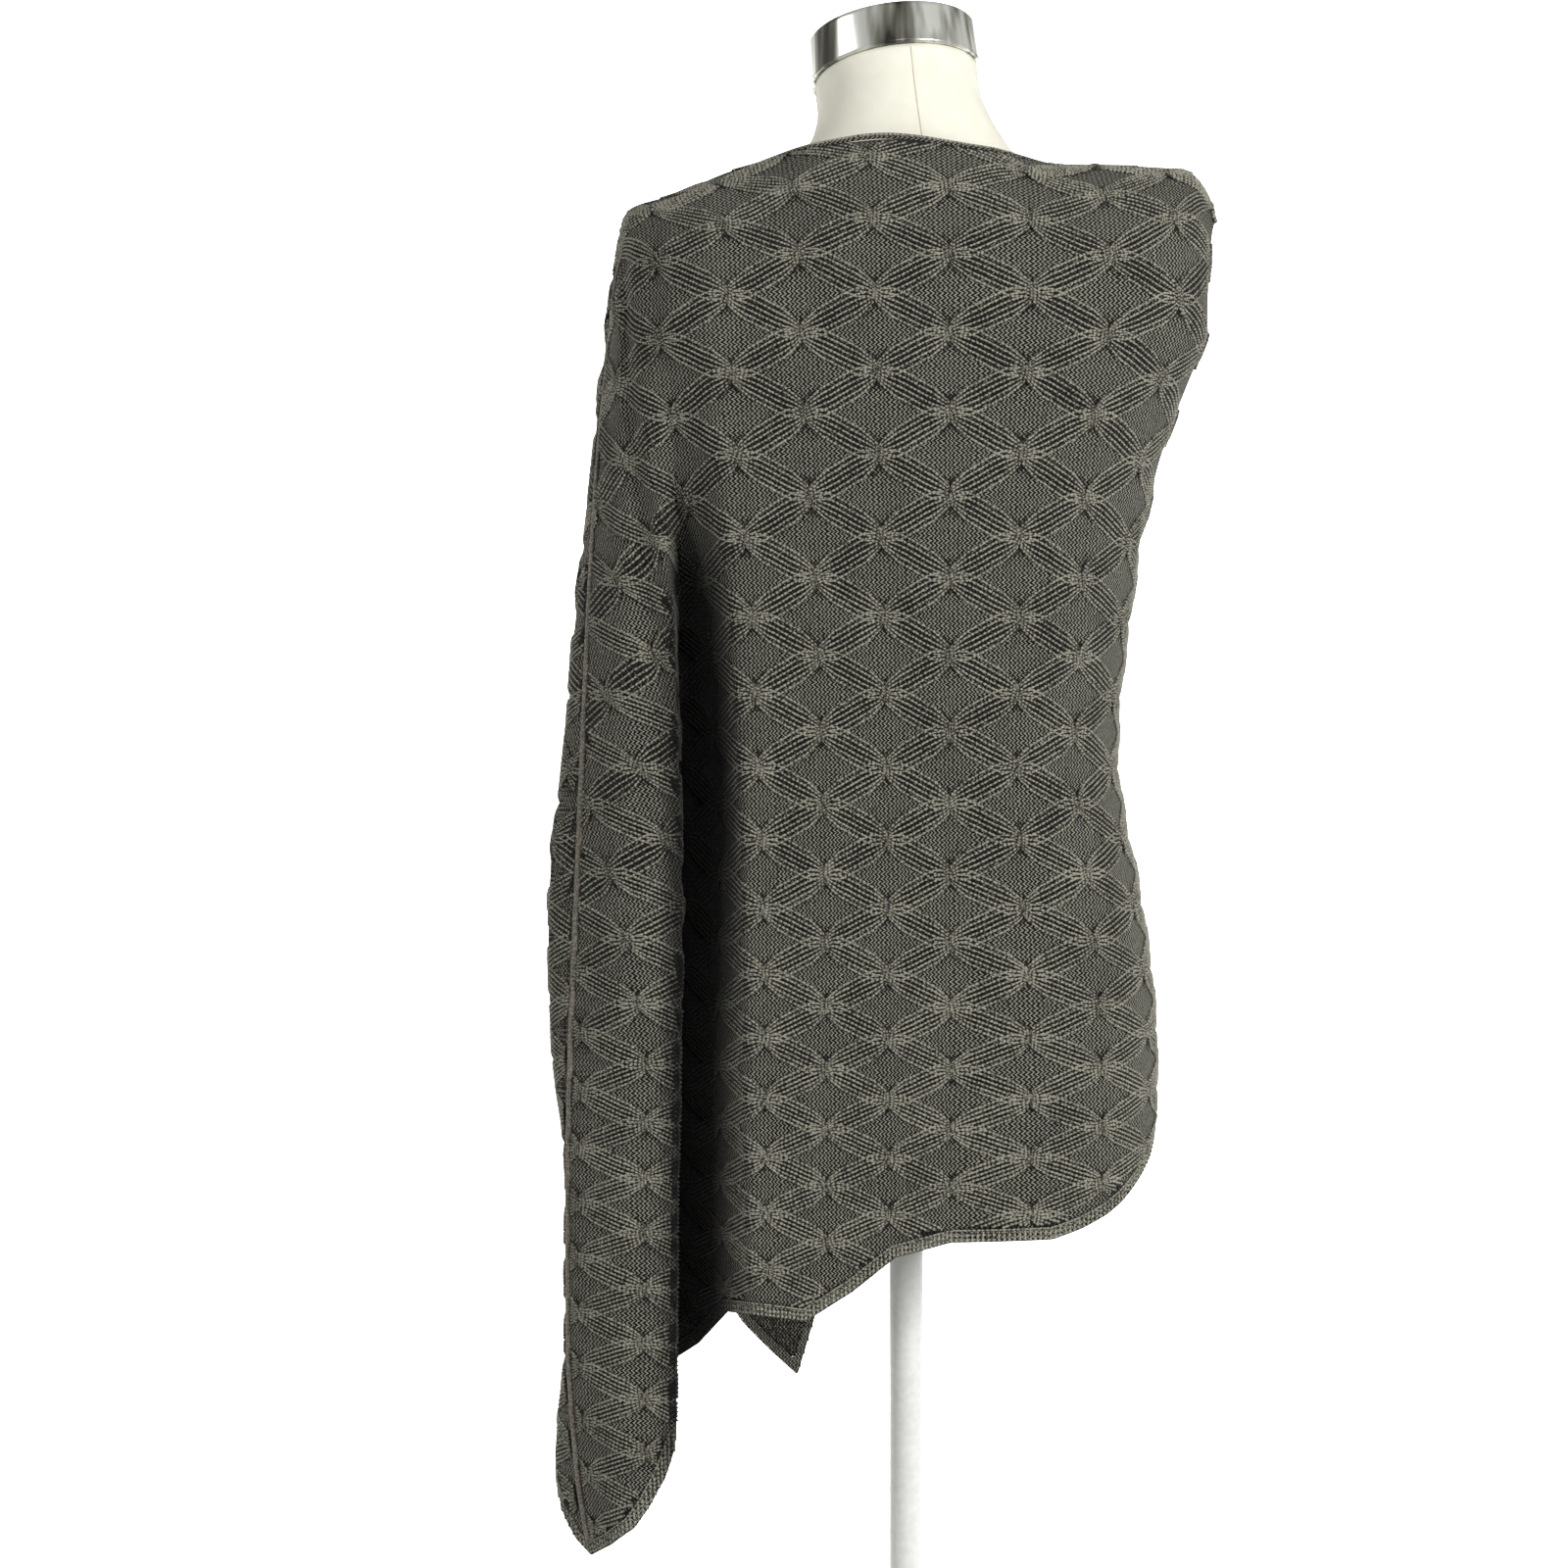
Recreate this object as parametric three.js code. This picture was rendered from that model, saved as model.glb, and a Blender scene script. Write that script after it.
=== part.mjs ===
// A lattice-cabled knitted poncho sweater, worn by a limbless dress form on a stand.
// Millimetres, +Z up, origin under the middle of the stand. The back of the poncho faces -Y,
// its long point hangs at -X, and its shorter, closed side is at +X.
import * as THREE from "three";

// Cloth
const WALL = 2.2;
const CABLE_RISE = 2.2;
const SEAM_GAP = 0.4;
const BAND_GAP = 1.3;
const HEM_WIDTH = 8;
const NECK_EDGE_WIDTH = 5;
const BAND_PROUD = 0.5;

// Knit layout: columns of crossings are counted from the middle of each panel, rows run down
const SIDE_COLUMN = 4.2;
const ROW_ZERO_HEIGHT = 820;
const ROWS_PER_CROSSING = 4;
const EVEN_ROWS = 2;
const YOKE_HEIGHT = 1000;
const YOKE_PITCH = 52;
const EDGE_CLEARANCE = 4.5;

// Right arm slit: a lens between the panels
const SLIT = { low: 770, high: 1075, halfWidth: 17 };

// Stand and form
const BASE_RADIUS = 190;
const BASE_THICK = 12;
const HUB_RADIUS = 24;
const HUB_TOP = 46;
const POLE_RADIUS = 12;
const FORM_BOTTOM = 478;
const FLANGE_RADIUS = 42;
const FLANGE_THICK = 14;
const NECK_TOP = 1187;
const NECK_LEAN = 0.19;
const SHOULDER_TILT = 0.035;
const NECK_TILT = 0.105;
const TILT_FROM = 880;
const TILT_FULL = 1010;
const CAP_HEIGHT = 31;
const CAP_RADIUS = 61;
const TOUCH_GAP = 0.3;

const table = (columns, rows) =>
  rows.map((row) => Object.fromEntries(columns.map((name, i) => [name, row[i]])));

// The worn outline, level by level: how far the cloth reaches to each side, where the seam on the
// long side runs, the height between crossings, and the panel columns that reach the seam
const OUTLINE = table(
  ["z", "right", "left", "back", "front", "seamX", "seamY", "pitch", "backSeam", "frontSeam"],
  [
    [1000, 214, -214, -112, 104, -211, -14, 53, -5.4, -5.2],
    [900, 177, -224, -119, 120, -219, -34, 57, -5.9, -5.7],
    [800, 157, -234, -117, 122, -224, -48, 53, -6.9, -6.5],
    [700, 148, -242, -112, 118, -228, -54, 50, -7.9, -7.2],
    [600, 165, -252, -118, 124, -232, -56, 46, -8.8, -7.8],
    [500, 176, -250, -126, 130, -236, -56, 41.5, -9.25, -8],
    [400, 175, -239, -131, 135, -238, -54, 38, -9.25, -8],
    [300, 172, -239, -134, 138, -238, -52, 38, -9.25, -8],
    [200, 172, -248, -136, 140, -232, -48, 38, -9.25, -8],
    [130, 172, -243, -137, 141, -221, -44, 38, -9.25, -8],
  ],
);

// The large folds, level by level: on the back a crest, a deep valley and the crest of the hanging
// flap, and on the front one soft crest and its valley
const FOLDS = table(
  ["z", "ridgeX", "ridgeY", "valleyX", "valleyY", "flapX", "flapY", "crestX", "crestY", "dipX", "dipY"],
  [
    [1000, -139, -98, -166, -84, -190, -60, -186, 50, -150, 74],
    [900, -131, -107, -162, -84, -178, -84, -190, 56, -148, 74],
    [800, -121, -108, -160, -52, -166, -92, -192, 62, -146, 70],
    [700, -116, -106, -160, -24, -161, -92, -194, 66, -145, 64],
    [600, -112, -110, -168, -16, -158, -90, -198, 68, -150, 64],
    [500, -111, -117, -180, -10, -159, -90, -202, 70, -156, 66],
    [400, -110, -121, -181, -8, -161, -90, -200, 72, -154, 70],
    [300, -107, -124, -178, -10, -162, -89, -198, 74, -152, 74],
    [200, -106, -126, -174, -12, -163, -87, -198, 74, -152, 76],
    [130, -105, -127, -172, -14, -163, -86, -198, 74, -152, 76],
  ],
);

// Upper edge of each panel, from the side at +X over the shoulder and round the neck to the seam:
// dome is 1 where the cloth rounds over a shoulder and 0 where it slopes up to the neck
const EDGE_COLUMNS = ["column", "x", "y", "z", "dome"];
const BACK_EDGE = table(EDGE_COLUMNS, [
  [4.2, 221, -2, 1081, 1],
  [3.8, 212, -1.6, 1103, 1],
  [3.4, 198, -1, 1117, 1],
  [2.6, 162, -0.8, 1119, 1],
  [1.75, 118, -4, 1119, 0.9],
  [0.45, 51, -56, 1124, 0.4],
  [-0.75, -17, -66, 1131, 0.25],
  [-1.65, -65, -57, 1126, 0.4],
  [-2.7, -122, -6, 1116, 0.9],
  [-3.6, -163, -0.8, 1100, 1],
  [-4.4, -200, -0.8, 1086, 1],
  [-5.4, -211, -14, 1000, 1],
]);
const FRONT_EDGE = table(EDGE_COLUMNS, [
  [4.2, 221, 2, 1081, 1],
  [3.9, 212, 1.6, 1103, 1],
  [3.6, 198, 1, 1117, 1],
  [2.9, 162, 0.8, 1119, 1],
  [2.1, 118, 2, 1118, 0.9],
  [1.1, 64, 55, 1098, 0.4],
  [0, 0, 78, 1083, 0.2],
  [-1.1, -68, 55, 1088, 0.4],
  [-2.3, -122, 4, 1115, 0.9],
  [-3.2, -163, 0.8, 1100, 1],
  [-4, -200, 0.8, 1086, 1],
  [-5.2, -211, -14, 1000, 1],
]);

// Lower edge of each panel: the height of the hem at a column
const HEM_COLUMNS = ["column", "z"];
const BACK_HEM = table(HEM_COLUMNS, [
  [4.2, 452],
  [3.7, 438],
  [3.2, 420],
  [2.8, 407],
  [2.4, 394],
  [2.1, 386],
  [1.7, 378],
  [1.3, 372],
  [0, 371],
  [-0.9, 361],
  [-1.6, 338],
  [-2.4, 317],
  [-3.25, 321],
  [-4, 318],
  [-4.9, 289],
  [-6, 264],
  [-7.1, 252],
  [-7.5, 228],
  [-7.75, 201],
  [-8, 181],
  [-8.25, 166],
  [-8.7, 152],
  [-9.25, 140],
]);
const FRONT_HEM = table(HEM_COLUMNS, [
  [4.2, 452],
  [3.5, 434],
  [2.5, 402],
  [1.5, 384],
  [0, 366],
  [-1, 336],
  [-1.5, 294],
  [-1.9, 235],
  [-3, 279],
  [-4.2, 345],
  [-5.5, 440],
  [-6.5, 585],
  [-6.75, 600],
  [-7, 330],
  [-7.25, 205],
  [-7.5, 168],
  [-7.75, 149],
  [-8, 140],
]);

const clamp = (value, low, high) => Math.min(Math.max(value, low), high);
const mix = (a, b, share) => a + (b - a) * share;

// Reads a table at any place between its rows, smoothly, and holds its ends
function smoothTable(rows, key) {
  const down = rows[1][key] < rows[0][key] ? -1 : 1;
  const secant = (i, name) => (rows[i + 1][name] - rows[i][name]) / (rows[i + 1][key] - rows[i][key]);
  const slope = (i, name) => {
    const before = secant(Math.max(i - 1, 0), name);
    const after = secant(Math.min(i, rows.length - 2), name);
    return before * after > 0 ? (2 * before * after) / (before + after) : 0;
  };
  return (at) => {
    let i = 0;
    while (i < rows.length - 2 && down * (at - rows[i + 1][key]) > 0) i += 1;
    const span = rows[i + 1][key] - rows[i][key];
    const t = clamp((at - rows[i][key]) / span, 0, 1);
    const found = {};
    for (const name of Object.keys(rows[i])) {
      const a = rows[i][name];
      const b = rows[i + 1][name];
      const leave = slope(i, name) * span;
      const arrive = slope(i + 1, name) * span;
      const bend = (leave * (1 - t) - arrive * t + (b - a) * (2 * t - 1)) * t * (1 - t);
      found[name] = mix(a, b, t) + bend;
    }
    return found;
  };
}

// Reads one value of a table at any place between its rows, along straight lines
function straightTable(rows, key, name) {
  const down = rows[1][key] < rows[0][key] ? -1 : 1;
  return (at) => {
    let i = 0;
    while (i < rows.length - 2 && down * (at - rows[i + 1][key]) > 0) i += 1;
    const t = (at - rows[i][key]) / (rows[i + 1][key] - rows[i][key]);
    return mix(rows[i][name], rows[i + 1][name], clamp(t, 0, 1));
  };
}

const outlineAt = smoothTable(OUTLINE, "z");
const foldsAt = smoothTable(FOLDS, "z");

// Plan of the whole garment at one level: points round it, with the seams and folds marked
const CORNER_POWER = 2.4;
const CORNER_ANGLES = [22, 45, 68];
const BACK_MIDDLE = 25;
const FRONT_MIDDLE = 8;
const CREST_STEP_YOKE = 20;
const CREST_STEP_BODY = 13;
const CREST_STEP_FALL = 200;
const FOLD_BEHIND_SEAM = 22;
const FLAP_BULGE = 7;
const FRONT_SHOULDER = { x: -88, depth: 0.88 };
function corner(middle, reach, depth, degrees) {
  const angle = THREE.MathUtils.degToRad(degrees);
  const x = middle + (reach - middle) * Math.cos(angle) ** (2 / CORNER_POWER);
  const y = depth * Math.sin(angle) ** (2 / CORNER_POWER);
  return [x, y];
}

function planPoints(z) {
  const o = outlineAt(z);
  const f = foldsAt(z);
  const marks = {};
  const points = [];
  const add = (x, y, name) => {
    if (name) marks[name] = points.length;
    points.push(new THREE.Vector3(x, y, 0));
  };
  const depth = clamp((YOKE_HEIGHT - z) / CREST_STEP_FALL, 0, 1);
  const crestStep = mix(CREST_STEP_YOKE, CREST_STEP_BODY, depth);
  const towards = (x0, y0, x1, y1) => {
    const share = crestStep / Math.hypot(x1 - x0, y1 - y0);
    add(mix(x0, x1, share), mix(y0, y1, share));
  };
  add(o.right, 0, "side");
  for (const degrees of CORNER_ANGLES) add(...corner(BACK_MIDDLE, o.right, o.back, degrees));
  add(BACK_MIDDLE, o.back, "backMiddle");
  add(mix(BACK_MIDDLE, f.ridgeX, 0.5), mix(o.back, f.ridgeY, 0.3));
  towards(f.ridgeX, f.ridgeY, BACK_MIDDLE, o.back);
  add(f.ridgeX, f.ridgeY, "ridge");
  towards(f.ridgeX, f.ridgeY, f.valleyX, f.valleyY);
  add(f.valleyX, f.valleyY);
  towards(f.flapX, f.flapY, f.valleyX, f.valleyY);
  add(f.flapX, f.flapY);
  towards(f.flapX, f.flapY, o.seamX, o.seamY);
  add(mix(f.flapX, o.seamX, 0.55), mix(f.flapY, o.seamY, 0.5) - FLAP_BULGE);
  add(o.seamX, o.seamY, "seam");
  const foldY = o.seamY + FOLD_BEHIND_SEAM;
  add(o.left, foldY);
  add(mix(o.left, f.crestX, 0.3), mix(foldY, f.crestY, 0.62));
  add(f.crestX, f.crestY);
  add(f.dipX, f.dipY);
  add(FRONT_SHOULDER.x, o.front * FRONT_SHOULDER.depth);
  add(FRONT_MIDDLE, o.front, "frontMiddle");
  for (const degrees of CORNER_ANGLES.toReversed()) {
    add(...corner(FRONT_MIDDLE, o.right, o.front, degrees));
  }
  return { points, marks };
}

const PLAN_STEPS = 10;
const plans = new Map();
function planAt(z) {
  const key = z.toFixed(1);
  if (plans.has(key)) return plans.get(key);
  const { points, marks } = planPoints(Number(key));
  const curve = new THREE.CatmullRomCurve3(points, true, "centripetal");
  const count = points.length * PLAN_STEPS;
  const line = [];
  for (let i = 0; i <= count; i += 1) line.push(curve.getPoint((i % count) / count));
  const lengths = [0];
  for (let i = 1; i <= count; i += 1) lengths.push(lengths[i - 1] + line[i].distanceTo(line[i - 1]));
  const arcs = {};
  for (const [name, index] of Object.entries(marks)) arcs[name] = lengths[index * PLAN_STEPS];
  arcs.end = lengths[count];
  const plan = { line, lengths, arcs };
  plans.set(key, plan);
  return plan;
}

function alongPlan(plan, arc) {
  const at = clamp(arc, 0, plan.arcs.end);
  let low = 0;
  let high = plan.lengths.length - 1;
  while (high - low > 1) {
    const middle = (low + high) >> 1;
    if (plan.lengths[middle] > at) high = middle;
    else low = middle;
  }
  const share = (at - plan.lengths[low]) / (plan.lengths[high] - plan.lengths[low]);
  return plan.line[low].clone().lerp(plan.line[high], share);
}

function slitAt(z) {
  const along = clamp((z - SLIT.low) / (SLIT.high - SLIT.low), 0, 1);
  return SLIT.halfWidth * Math.sin(Math.PI * along) ** 1.3 + SEAM_GAP;
}

// Where a column of each panel stands on the plan of a level
const RIDGE_COLUMN = -3.25;
const backSeamAt = straightTable(OUTLINE, "z", "backSeam");
const frontSeamAt = straightTable(OUTLINE, "z", "frontSeam");
function backArc(column, z, plan) {
  const { backMiddle, ridge, seam } = plan.arcs;
  if (column >= 0) return mix(backMiddle, slitAt(z), column / SIDE_COLUMN);
  if (column >= RIDGE_COLUMN) return mix(backMiddle, ridge, column / RIDGE_COLUMN);
  const last = backSeamAt(z);
  return mix(ridge, seam - SEAM_GAP, (column - RIDGE_COLUMN) / (last - RIDGE_COLUMN));
}
function frontArc(column, z, plan) {
  const { frontMiddle, seam, end } = plan.arcs;
  if (column >= 0) return mix(frontMiddle, end - slitAt(z), column / SIDE_COLUMN);
  return mix(frontMiddle, seam + SEAM_GAP, column / frontSeamAt(z));
}

function makePanel(edge, hem, seamName, arcOf, inward) {
  const edgeAt = smoothTable(edge, "column");
  const edgeEnd = edge[edge.length - 1].column;
  const seamRows = OUTLINE.filter((row, i) => !i || row[seamName] < OUTLINE[i - 1][seamName]);
  const seamHeight = straightTable(seamRows, seamName, "z");
  const hemAt = straightTable(hem, "column", "z");
  const levelPoint = (column, z) => {
    const plan = planAt(z);
    return alongPlan(plan, arcOf(column, z, plan)).setZ(z);
  };
  // Length of cloth between the yoke's level and the upper edge
  const yokeLength = (column) => {
    const top = edgeAt(column);
    const low = levelPoint(column, YOKE_HEIGHT);
    const rise = top.z - YOKE_HEIGHT;
    return Math.hypot(rise, top.x - low.x, top.y - low.y) * (1 + 0.11 * top.dome);
  };
  const top = (column) =>
    column >= edgeEnd ? YOKE_HEIGHT + yokeLength(column) : seamHeight(column);
  const point = (column, height) => {
    const onYoke = height > YOKE_HEIGHT && column >= edgeEnd;
    if (!onYoke) return levelPoint(column, Math.min(height, YOKE_HEIGHT));
    const edgeHere = edgeAt(column);
    const low = levelPoint(column, YOKE_HEIGHT);
    const t = clamp((height - YOKE_HEIGHT) / yokeLength(column), 0, 1);
    const turn = (t * Math.PI) / 2;
    const share = mix(t ** 1.5, 1 - Math.cos(turn), edgeHere.dome);
    const rise = mix(t, Math.sin(turn), edgeHere.dome);
    return new THREE.Vector3(
      mix(low.x, edgeHere.x, share),
      mix(low.y, edgeHere.y, share),
      mix(YOKE_HEIGHT, edgeHere.z, rise),
    );
  };
  return { point, top, hemAt, edgeEnd, inward, lastColumn: hem[hem.length - 1].column };
}

const back = makePanel(BACK_EDGE, BACK_HEM, "backSeam", backArc, 1);
const front = makePanel(FRONT_EDGE, FRONT_HEM, "frontSeam", frontArc, -1);

// Row number of the knit at a height of cloth, and back
const ROW_TABLE_TOP = 1260;
const ROW_TABLE_BOTTOM = 60;
const rowTable = [];
{
  const pitchAt = (height) => (height > YOKE_HEIGHT ? YOKE_PITCH : outlineAt(height).pitch);
  let row = 0;
  for (let height = ROW_ZERO_HEIGHT; height < ROW_TABLE_TOP; height += 1) row -= 1 / pitchAt(height);
  for (let height = ROW_TABLE_TOP; height > ROW_TABLE_BOTTOM; height -= 1) {
    rowTable.push({ height, row });
    row += 1 / pitchAt(height);
  }
}
const rowAt = straightTable(rowTable, "height", "row");
const ROW_TABLE_FIRST = rowTable[0].row;
const ROW_TABLE_LAST = rowTable[rowTable.length - 1].row;
function heightOfRow(row) {
  let low = 0;
  let high = rowTable.length - 1;
  while (high - low > 1) {
    const middle = (low + high) >> 1;
    if (rowTable[middle].row > row) high = middle;
    else low = middle;
  }
  return rowTable[low].height;
}

// How far the cable lattice stands out, 0 to 1: strands run slantwise from crossing to crossing,
// and close to a crossing their ribs fan out sideways
const STRAND_HALF = 0.29;
const FAN_WIDE = 0.5;
const FAN_HIGH = 0.17;
const FAN_RISE = 0.8;
function latticeRise(column, row) {
  const falling = row - column / 2;
  const rising = row + column / 2;
  const fallingOff = falling - Math.round(falling);
  const risingOff = rising - Math.round(rising);
  const off = Math.min(Math.abs(fallingOff), Math.abs(risingOff));
  const strand = Math.max(0, 1 - (off / STRAND_HALF) ** 2);
  const aside = risingOff - fallingOff;
  const down = (risingOff + fallingOff) / 2;
  const fan = FAN_RISE * Math.exp(-((aside / FAN_WIDE) ** 2) - (down / FAN_HIGH) ** 2);
  return Math.max(strand, fan);
}

// The hem band's upper edge: everything closer to the hem than the band is wide belongs to it
const COLUMN_WIDTH = 47;
function aboveHem(panel, column, width) {
  let height = -Infinity;
  for (let aside = -width; aside <= width; aside += width / 8) {
    const near = clamp(column + aside / COLUMN_WIDTH, panel.lastColumn, SIDE_COLUMN);
    height = Math.max(height, panel.hemAt(near) + Math.sqrt(width ** 2 - aside ** 2));
  }
  return height;
}

// Faces between two lists of points that run down side by side
function stripFaces(a, b, prefersB, faces, flip) {
  let i = 0;
  let j = 0;
  while (i < a.length - 1 || j < b.length - 1) {
    let stepA = j === b.length - 1;
    if (i < a.length - 1 && j < b.length - 1) {
      const apart = a[i + 1].row - b[j + 1].row;
      stepA = Math.abs(apart) < 1e-6 ? !prefersB(a[i], b[j], a[i + 1]) : apart < 0;
    }
    const face = stepA ? [a[i].id, b[j].id, a[i + 1].id] : [a[i].id, b[j].id, b[j + 1].id];
    if (stepA) i += 1;
    else j += 1;
    faces.push(flip ? face.reverse() : face);
  }
}

// A strand that falls towards -X is kept whole by the edge between its two ends
function strandFalls(a, b, below) {
  const column = (a.column + b.column) / 2;
  const row = (a.row + below.row) / 2;
  const offWhole = (value) => Math.abs(value - Math.round(value));
  return offWhole(row + column / 2) < offWhole(row - column / 2);
}

// Direction that faces out of the cloth
const LOOK_ASIDE = 0.12;
const LOOK_DOWN = 3;
function outwardAt(panel, column, height) {
  const left = panel.point(Math.max(column - LOOK_ASIDE, panel.lastColumn), height);
  const right = panel.point(Math.min(column + LOOK_ASIDE, SIDE_COLUMN), height);
  const above = panel.point(column, Math.min(height + LOOK_DOWN, panel.top(column)));
  const below = panel.point(column, height - LOOK_DOWN);
  const out = left.sub(right).cross(below.sub(above));
  return out.multiplyScalar(panel.inward).normalize();
}

// A solid piece of cloth: columns of points between an upper and a lower edge, moved out by the
// cables on its face and in by the wall's thickness on its plain inside
function clothSolid({ panel, columns, top, bottom, knit, proud = 0 }) {
  const lines = columns.map((column) => {
    const high = top(column);
    const low = bottom(column);
    const line = [{ column, row: rowAt(high), height: high, rim: true }];
    if (knit) {
      const first = Math.ceil(rowAt(high) * ROWS_PER_CROSSING);
      for (let step = first; step / ROWS_PER_CROSSING < ROW_TABLE_LAST; step += 1) {
        const row = step / ROWS_PER_CROSSING;
        if (row <= ROW_TABLE_FIRST) continue;
        const height = heightOfRow(row);
        if (height < low + EDGE_CLEARANCE) break;
        if (height > high - EDGE_CLEARANCE) continue;
        line.push({ column, row, height, even: step % EVEN_ROWS === 0 });
      }
    }
    line.push({ column, row: rowAt(low), height: low, rim: true });
    return line;
  });
  const points = lines.flat();
  points.forEach((point, id) => {
    point.id = id;
    point.base = panel.point(point.column, point.height);
    point.normal = outwardAt(panel, point.column, point.height);
  });
  for (const point of [...lines[0], ...lines.at(-1)]) point.side = true;
  const flip = panel.inward < 0;
  const outer = [];
  for (let i = 0; i < lines.length - 1; i += 1) stripFaces(lines[i], lines[i + 1], strandFalls, outer, flip);
  const positions = [];
  for (const point of points) {
    const flat = point.rim || point.side || !knit;
    const rise = flat ? 0 : CABLE_RISE * latticeRise(point.column, point.row);
    positions.push(point.base.clone().addScaledVector(point.normal, rise + proud));
  }
  const insides = lines.map((line) =>
    line
      .filter((point) => point.rim || point.even)
      .map((point) => {
        positions.push(point.base.clone().addScaledVector(point.normal, -WALL));
        return { ...point, id: positions.length - 1 };
      }),
  );
  const faces = [...outer];
  for (let i = 0; i < lines.length - 1; i += 1) {
    stripFaces(insides[i], insides[i + 1], () => true, faces, !flip);
    const ends = [
      [lines[i][0], lines[i + 1][0], insides[i][0], insides[i + 1][0], flip],
      [lines[i].at(-1), lines[i + 1].at(-1), insides[i].at(-1), insides[i + 1].at(-1), !flip],
    ];
    for (const [a, b, c, d, turned] of ends) {
      const pair = [
        [a.id, c.id, b.id],
        [b.id, c.id, d.id],
      ];
      for (const face of pair) faces.push(turned ? face.reverse() : face);
    }
  }
  stripFaces(insides[0], lines[0], () => true, faces, flip);
  stripFaces(lines.at(-1), insides.at(-1), () => true, faces, flip);
  return closedGeometry(positions, faces);
}

function closedGeometry(positions, faces) {
  const geometry = new THREE.BufferGeometry();
  geometry.setAttribute(
    "position",
    new THREE.Float32BufferAttribute(positions.flatMap((p) => [p.x, p.y, p.z]), 3),
  );
  geometry.setIndex(faces.flat());
  geometry.computeVertexNormals();
  return geometry;
}

// Columns of points: half a crossing apart on the body of a panel, closer where it is folded,
// and one on the sharp crest of the flap
const FLAP_CREST_COLUMN = -7.6;
function columnsBetween(first, last, foldedFrom) {
  const columns = [first];
  let column = Math.ceil(first * 2 - 1) / 2;
  while (column >= last) {
    columns.push(column);
    column -= column > foldedFrom ? 0.5 : 0.25;
  }
  const beyond = columns.findIndex((value) => value < FLAP_CREST_COLUMN);
  if (beyond > 0) columns.splice(beyond, 0, FLAP_CREST_COLUMN);
  return columns;
}

const BACK_FOLDED_FROM = -3;
const FRONT_FOLDED_FROM = -5;
const BACK_NECK_END = -4.25;
const FRONT_NECK_END = -4;

function seamSetback(panel, column) {
  const step = 0.25;
  const fall = Math.abs(panel.top(column + step) - panel.top(column)) / (step * COLUMN_WIDTH);
  return SEAM_GAP * Math.hypot(1, fall);
}

function panelGeometry(panel, foldedFrom, neckEnd) {
  return clothSolid({
    panel,
    columns: columnsBetween(SIDE_COLUMN, panel.lastColumn, foldedFrom),
    top: (column) =>
      panel.top(column) -
      (column >= neckEnd ? NECK_EDGE_WIDTH + BAND_GAP : seamSetback(panel, column)),
    bottom: (column) => aboveHem(panel, column, HEM_WIDTH),
    knit: true,
  });
}

function hemGeometry(panel, foldedFrom) {
  return clothSolid({
    panel,
    columns: columnsBetween(SIDE_COLUMN, panel.lastColumn, foldedFrom),
    top: (column) => aboveHem(panel, column, HEM_WIDTH - BAND_GAP),
    bottom: (column) => panel.hemAt(column),
    knit: false,
    proud: BAND_PROUD,
  });
}

function neckEdgeGeometry(panel, foldedFrom, neckEnd) {
  return clothSolid({
    panel,
    columns: columnsBetween(SIDE_COLUMN, neckEnd, foldedFrom),
    top: (column) => panel.top(column),
    bottom: (column) => panel.top(column) - NECK_EDGE_WIDTH,
    knit: false,
    proud: BAND_PROUD,
  });
}

// The form: oval rings, then a rounded shoulder line that tips up towards +X and a leaning neck
const FORM_RINGS = table(
  ["z", "halfWidth", "halfDepth", "middleY", "power"],
  [
    [478, 141, 96, 0, 2.2],
    [486, 149, 104, 0, 2.2],
    [520, 152, 107, 0, 2.2],
    [600, 147, 104, 0, 2.2],
    [690, 124, 90, 0, 2.1],
    [740, 119, 87, 0, 2.1],
    [820, 132, 97, 0, 2.1],
    [900, 148, 106, 0, 2.2],
    [960, 164, 103, -2, 2.3],
    [1010, 184, 92, -3, 2.4],
    [1045, 194, 78, -2, 2.4],
    [1070, 193, 64, 0, 2.4],
    [1089, 184, 50, 0, 2.4],
    [1100, 166, 39, -5, 2.3],
    [1107, 124, 35, -9, 2.2],
    [1115, 92, 33, -12, 2.1],
    [1124, 78, 42, -10, 2],
    [1136, 70, 50, -6, 2],
    [1152, 62, 56, -2, 2],
    [1168, 58, 58, 0, 2],
    [1187, 58, 58, 0, 2],
  ],
);
const FORM_SIDES = 36;
const NECK_LEAN_FROM = 1120;
const NECK_TILT_FULL = 1160;

function formPoint(x, y, z) {
  const atShoulder = SHOULDER_TILT * THREE.MathUtils.smoothstep(z, TILT_FROM, TILT_FULL);
  const atNeck = THREE.MathUtils.smoothstep(z, NECK_LEAN_FROM, NECK_TILT_FULL);
  const tilt = mix(atShoulder, NECK_TILT, atNeck);
  const above = Math.max(0, z - NECK_LEAN_FROM);
  return new THREE.Vector3(x - above * NECK_TILT, y + above * NECK_LEAN, z + x * tilt - y * leanAt(z));
}

function leanAt(z) {
  return NECK_LEAN * THREE.MathUtils.smoothstep(z, NECK_LEAN_FROM, NECK_TOP);
}

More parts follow.
